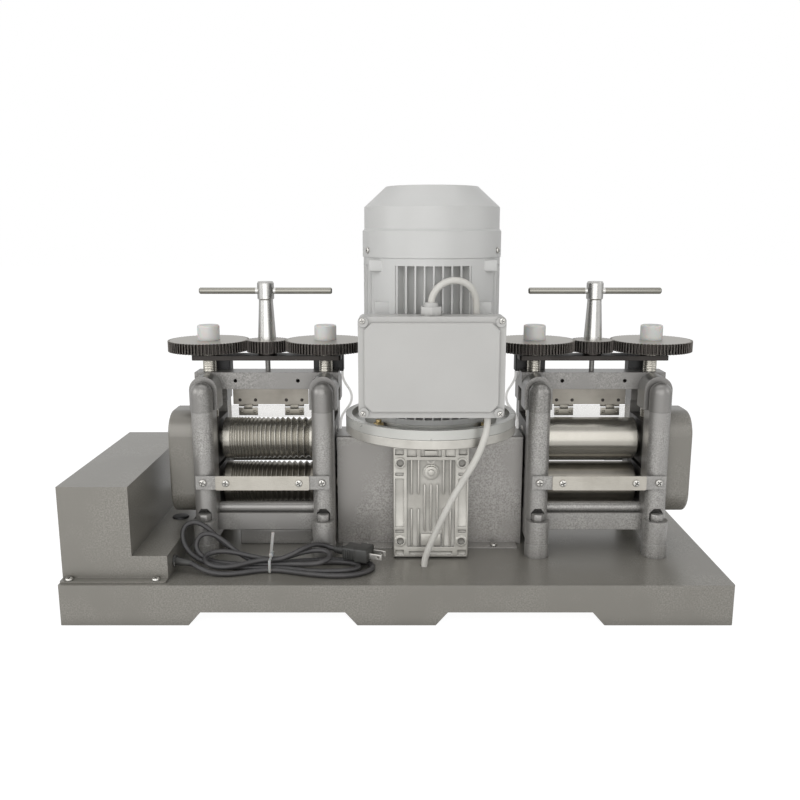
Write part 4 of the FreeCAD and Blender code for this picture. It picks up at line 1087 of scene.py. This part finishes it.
@dataclass
class BaseTrim:
    """The bush in the step cover's tread, the low rail under the left head and the foot bolts' heads."""

    finishes: Finishes
    bush: Point = (-267.0, -5.0, 72.6)
    bush_rise: float = 2.2
    rail: tuple[Point, Point] = ((-190.0, -26.0, 46.0), (-103.0, -20.0, 64.0))
    foot: Span = (69.0, 63.0)
    head: Span = (88.9, 97.2)
    head_radius: float = 7.75
    turn_step: float = 13.0

    def build(self) -> None:
        """Set the bush, the rail and the heads."""
        x, y, z = self.bush
        bush = Shop.spun("tread_bush", self.bush, (x, y, z + self.bush_rise), 10.5, 9.4, soft=0.6)
        Shop.fitted(bush, self.finishes.black, MACHINE, "black_plastic")
        rail = Shop.block("low_rail", *self.rail, 0.8)
        Shop.fitted(rail, self.finishes.frame_paint, MACHINE, "frame_paint")
        self.foot_bolts()

    def foot_bolts(self) -> None:
        """Set a hexagon head on every foot, each turned by its own angle."""
        across, deep = self.foot
        low, high = self.head
        heads = []
        for count, (x, y) in enumerate((centre + x, y) for centre in HEAD_CENTRES.values()
                                       for x in (-across, across) for y in (-deep, deep)):
            head = Shop.spun("foot_bolt_heads", (x, y, low), (x, y, high), self.head_radius,
                             sides=6, soft=1.0)
            Shop.turned(head, "Z", 30.0 + self.turn_step * count, (x, y, low))
            heads.append(head)
        Shop.fitted(Shop.joined(*heads), self.finishes.frame_paint, MACHINE, "frame_paint")


@dataclass(frozen=True)
class Softbox:
    """A square soft lamp; its place, target and size are in metres."""

    name: str
    place: Point
    size: float
    power: float
    target: Point = (0.0, 0.0, 0.2)

    def build(self) -> None:
        """Hang the lamp so that it points at its target."""
        data = bpy.data.lights.new(self.name, "AREA")
        data.size = self.size
        data.energy = self.power
        lamp = bpy.data.objects.new(self.name, data)
        lamp.location = self.place
        aim = Vector(self.target) - Vector(self.place)
        lamp.rotation_euler = aim.to_track_quat("-Z", "Y").to_euler()
        bpy.context.scene.collection.objects.link(lamp)


@dataclass
class Studio:
    """The camera, the floor and the soft lights round the machine."""

    eye: Point = (7.2, -1005.0, 420.0)
    tilt: float = 78.69
    lens: float = 38.25
    shift: float = -0.004
    ambient: float = 0.27
    mirrored: float = 0.5
    floor_size: float = 14.0
    floor_share: float = 0.8
    floor_light: float = 1.2
    softboxes: tuple[Softbox, ...] = (
        Softbox("front_softbox", (-0.2, -2.0, 0.9), 2.4, 27.5),
        Softbox("left_softbox", (-1.8, -0.9, 1.0), 1.2, 11.0),
        Softbox("right_softbox", (1.9, -0.7, 1.1), 1.2, 6.0),
        Softbox("top_softbox", (0.0, 0.4, 2.1), 1.6, 8.0),
    )

    def build(self) -> None:
        """Set up the view, the background and the lamps."""
        self.camera()
        self.surroundings()
        self.floor()
        for softbox in self.softboxes:
            softbox.build()
        LOG.info("studio ready")

    def camera(self) -> None:
        """Place the camera in front of the machine, looking a little down."""
        data = bpy.data.cameras.new("camera")
        data.lens = self.lens
        data.sensor_width = 36.0
        data.shift_x = self.shift
        data.clip_start = 0.01
        view = bpy.data.objects.new("camera", data)
        view.location = metres(*self.eye)
        view.rotation_euler = (math.radians(self.tilt), 0.0, 0.0)
        bpy.context.scene.collection.objects.link(view)
        bpy.context.scene.camera = view
        bpy.context.scene.view_settings.view_transform = "Standard"

    def surroundings(self) -> None:
        """Light from all round for the machine, and plain white behind it."""
        world = bpy.data.worlds.new("studio")
        world.use_nodes = True
        world.node_tree.nodes.clear()
        sky = Wiring(world.node_tree)
        rays = sky.add("ShaderNodeLightPath").outputs
        seen = sky.maths("MAXIMUM", rays["Is Camera Ray"], rays["Is Transmission Ray"])
        strength = sky.maths("MULTIPLY_ADD", rays["Is Glossy Ray"], self.mirrored, self.ambient)
        around = sky.add("ShaderNodeBackground", {"Color": WHITE, "Strength": strength}).outputs[0]
        behind = sky.add("ShaderNodeBackground", {"Color": WHITE, "Strength": 1.0}).outputs[0]
        mixed = sky.add("ShaderNodeMixShader", {0: seen, 1: around, 2: behind}).outputs[0]
        sky.add("ShaderNodeOutputWorld", {"Surface": mixed})
        bpy.context.scene.world = world

    def floor(self) -> None:
        """Lay a plain pale floor that keeps the machine's shadow; its mirrored light fades to the rear."""
        bpy.ops.mesh.primitive_plane_add(size=self.floor_size, location=(0.0, 2.0, 0.0))
        plane = bpy.context.object
        plane.name = "floor"
        graph = Graph("pale_floor")
        graph.surface(Base_Color=tone(245, 245, 245), Roughness=0.9)
        rays = graph.add("ShaderNodeLightPath").outputs
        fade = graph.level(graph.axis("Y"), 1.0, 0.1, -2.5, -1.9)
        mirrored = graph.maths("MULTIPLY", rays["Is Glossy Ray"], fade)
        seen = graph.maths("MAXIMUM", rays["Is Camera Ray"], mirrored)
        through = graph.maths("MAXIMUM", seen, rays["Is Transmission Ray"])
        share = graph.maths("MULTIPLY", through, self.floor_share)
        white = graph.add("ShaderNodeEmission", {"Color": WHITE, "Strength": self.floor_light}).outputs[0]
        shaders = {0: share, 1: graph.shader.outputs[0], 2: white}
        mixed = graph.add("ShaderNodeMixShader", shaders).outputs[0]
        graph.put(graph.tree.nodes["Material Output"].inputs["Surface"], mixed)
        plane.data.materials.append(graph.material)


@dataclass
class MainsCord:
    """The mains lead: out of the step cover, folded into a hank before the left head, into its plug."""

    finishes: Finishes
    diameter: float = 5.6
    length: float = 1.43
    tail_root: Point = (-141.0, -103.5, 65.0)
    plug_seat: Point = (-59.0, -84.0, 60.0)
    plug_turn: float = -20.0
    blade_offset: float = 6.35
    route: tuple[Point, ...] = (
        (-247, -110, 58), (-239, -110, 58), (-229, -113.5, 56.6), (-217.5, -119.5, 52.8),
        (-205, -124, 49.6), (-186, -126.5, 48.9), (-168, -121, 48.9), (-149, -114.1, 48.9),
        (-133, -114.1, 48.9), (-112, -120.5, 48.9), (-88, -128, 48.9), (-64, -131, 48.9),
        (-42, -127, 48.9), (-27, -113, 48.9), (-27, -97, 48.9), (-42, -86.5, 48.9),
        (-64, -84, 48.9), (-88, -84.5, 48.9), (-111, -87.4, 48.9), (-133, -91.8, 48.9),
        (-149, -91.8, 48.9), (-166, -87.7, 50.5), (-186, -82.5, 59), (-204, -78.7, 71),
        (-217, -78.1, 86), (-231, -78.6, 93.5), (-243.5, -80.5, 89), (-245.5, -84.5, 74),
        (-237.2, -90.3, 60.3), (-220.7, -98.5, 52.4), (-198.2, -104.2, 49.9), (-172, -107.9, 48.9),
        (-149, -108.3, 48.9), (-133, -108.3, 48.9), (-112, -113, 48.9), (-90, -119.5, 49.5),
        (-70, -122.5, 50.8), (-53, -121, 51.2), (-42.5, -112.5, 50.1), (-42.5, -101, 48.8),
        (-52, -93, 48.9), (-70, -91, 49.2), (-92, -91.5, 49), (-112, -94.1, 48.9),
        (-133, -97.5, 48.9), (-149, -97.5, 48.9), (-166, -94.2, 52), (-184, -87.9, 60.9),
        (-197.5, -84.5, 72), (-210.5, -83.9, 80.5), (-224, -84.8, 80), (-229.9, -87.9, 68.1),
        (-224.4, -91.5, 57.6), (-207.6, -95.8, 51), (-187.9, -99.5, 50.5), (-172, -102.3, 50.5),
        (-149, -102.9, 51.1), (-133, -102.9, 51.1), (-112, -108.5, 53.5), (-98, -115, 56),
        (-84, -116, 58), (-75, -108.5, 60), (-75, -98, 62), (-84, -91.5, 63.5),
        (-98, -91, 62.5), (-110, -93, 60.3), (-120, -96, 58), (-133, -98.7, 55.6),
        (-149, -98.7, 55.6), (-168, -96.6, 59), (-186, -93.9, 62), (-201, -93.2, 63),
        (-213, -98.5, 62), (-216, -108, 59), (-209, -117, 56.2), (-195, -121, 54.8),
        (-180, -117.5, 54.5), (-165, -110, 56), (-149, -104.6, 57.2), (-133, -104.6, 57.2),
        (-119, -103, 62), (-106, -97, 67.5), (-94, -85.5, 68.5), (-83, -77.5, 64),
        (-72.6, -79, 60), (-62.8, -82.6, 60),
    )

    def build(self) -> None:
        """Lay the lead, then its bush, its tie and its plug."""
        lead = self.lead()
        boot = self.boot("mains_boot", self.route[0], (-227.2, -113.3, 56.2), (4.8, 3.1), 6.4, 0)
        relief = self.boot("plug_relief", (-58.5, -84.2, 60.0), (-72.0, -79.3, 60.0), (5.0, 3.4), 5.2, 5)
        tie = self.tie()
        plug = self.plug()
        LOG.info("mains cord laid")

    def lead(self) -> Piece:
        """Draw the lead as one smooth spline with its real thickness.

        Returns:
            The lead.
        """
        curve = bpy.data.curves.new("mains_cord", "CURVE")
        curve.dimensions = "3D"
        curve.bevel_depth = self.diameter * MM / 2
        curve.bevel_resolution = 5
        curve.use_fill_caps = True
        spline = curve.splines.new("NURBS")
        spline.points.add(len(self.route) - 1)
        for point, place in zip(spline.points, self.route):
            point.co = (*metres(*place), 1.0)
        spline.order_u = 3
        spline.use_endpoint_u = True
        spline.resolution_u = 10
        curve.materials.append(self.finishes.black_sheath)
        cord = bpy.data.objects.new("mains_cord", curve)
        bpy.context.scene.collection.objects.link(cord)
        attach(cord, MACHINE)
        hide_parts("mains_lead", "mains_hank")
        return cord

    def boot(self, name: str, start: Point, end: Point, radii: Span, collar: float, ribs: int) -> Piece:
        """Form a tapered, ribbed strain relief round the lead between two points.

        Args:
            name: The piece's name.
            start: The thick end's centre.
            end: The thin end's centre.
            radii: The radius at the start and at the end.
            collar: The radius of the disc at the thick end.
            ribs: How many rings it carries.

        Returns:
            The finished piece.
        """
        thick, thin = radii
        first, last = Vector(start), Vector(end)
        ahead = (last - first).normalized()
        shapes = [Shop.spun(name, start, end, thick, thin)]
        for step in range(1, ribs + 1):
            share = step / (ribs + 1)
            centre = first.lerp(last, share)
            radius = thick + (thin - thick) * share + 0.45
            shapes.append(Shop.spun(name, centre - ahead * 0.6, centre + ahead * 0.6, radius))
        shapes.append(Shop.spun(name, first - ahead * 2.2, first + (last - first) * 0.04, collar))
        return Shop.fitted(Shop.joined(*shapes), self.finishes.plug, MACHINE, "black_plastic")

    def tie(self) -> Piece:
        """Close the nylon tie round the hank's waist, its tail standing up.

        Returns:
            The tie.
        """
        band = Shop.block("cord_tie", (-142.7, -118.4, 46.1), (-139.3, -87.6, 61.4), 1.7)
        hollow = Shop.block("tie_hollow", (-146.0, -117.0, 47.0), (-136.0, -88.9, 60.2), 1.6)
        Shop.cut(band, hollow)
        head = Shop.block("tie_head", (-143.2, -106.2, 60.6), (-138.8, -100.8, 64.6), 0.7)
        tail = Shop.block("tie_tail", (-142.6, -104.2, 63.4), (-139.4, -102.9, 91.0), 0.3)
        Shop.turned(tail, "Y", 8.0, self.tail_root)
        Shop.turned(tail, "X", 9.0, self.tail_root)
        piece = Shop.joined(band, head, tail)
        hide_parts("cord_tie")
        return Shop.fitted(piece, self.finishes.nylon, MACHINE, "tie_plastic")

    def plug(self) -> tuple[Piece, Piece]:
        """Mould the plug at the origin with its grip ribs, set its blades and lay it in its place.

        Returns:
            The moulding, and the two blades as one piece.
        """
        body = Shop.block("plug_body", (0.0, -10.4, -7.2), (17.0, 10.4, 7.2), 2.6)
        nose = Shop.block("plug_nose", (15.0, -12.0, -8.0), (31.0, 12.0, 8.0), 2.0)
        ribs = [Shop.block("plug_rib", (3.0 + 2.8 * k, -11.4, -5.4), (4.5 + 2.8 * k, 11.4, 5.4), 0.5)
                for k in range(4)]
        waist = Shop.spun("plug_waist", (-2.0, 0.0, 0.0), (1.5, 0.0, 0.0), 5.4, 6.6)
        moulding = Shop.joined(body, nose, waist, *ribs)
        prongs = Shop.joined(*[self.blade(side * self.blade_offset) for side in (-1, 1)])
        for piece in (moulding, prongs):
            Shop.turned(piece, "Z", self.plug_turn, (0.0, 0.0, 0.0))
            piece.data.transform(Matrix.Translation(metres(*self.plug_seat)))
        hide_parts("mains_plug")
        return (Shop.fitted(moulding, self.finishes.plug, MACHINE, "cord_black"),
                Shop.fitted(prongs, self.finishes.fasteners, MACHINE, "bright_steel"))

    def blade(self, middle: float) -> Piece:
        """Shape one blade of the plug, with the hole near its end.

        Args:
            middle: The blade's place across the plug.

        Returns:
            The blade.
        """
        piece = Shop.block("plug_blade", (30.0, middle - 0.75, -3.2), (47.0, middle + 0.75, 3.2), 0.3)
        Shop.cut(piece, Shop.spun("blade_hole", (43.0, -20.0, 0.0), (43.0, 20.0, 0.0), 1.6))
        return piece


def main() -> None:
    """Build the studio, dress the solids and add the fine pieces."""
    Studio().build()
    finishes = Finishes()
    finishes.dress_solids()
    MainsCord(finishes).build()
    Fasteners(finishes).build()
    GearboxFace(finishes).build()
    MotorTrim(finishes).build()
    BaseTrim(finishes).build()
    for side in HEAD_CENTRES:
        FingerGuard(finishes, side).build()
        RearStrap(finishes, side).build()


if __name__ == "__main__":
    logging.basicConfig(level=logging.INFO, format="%(name)s: %(message)s")
    main()
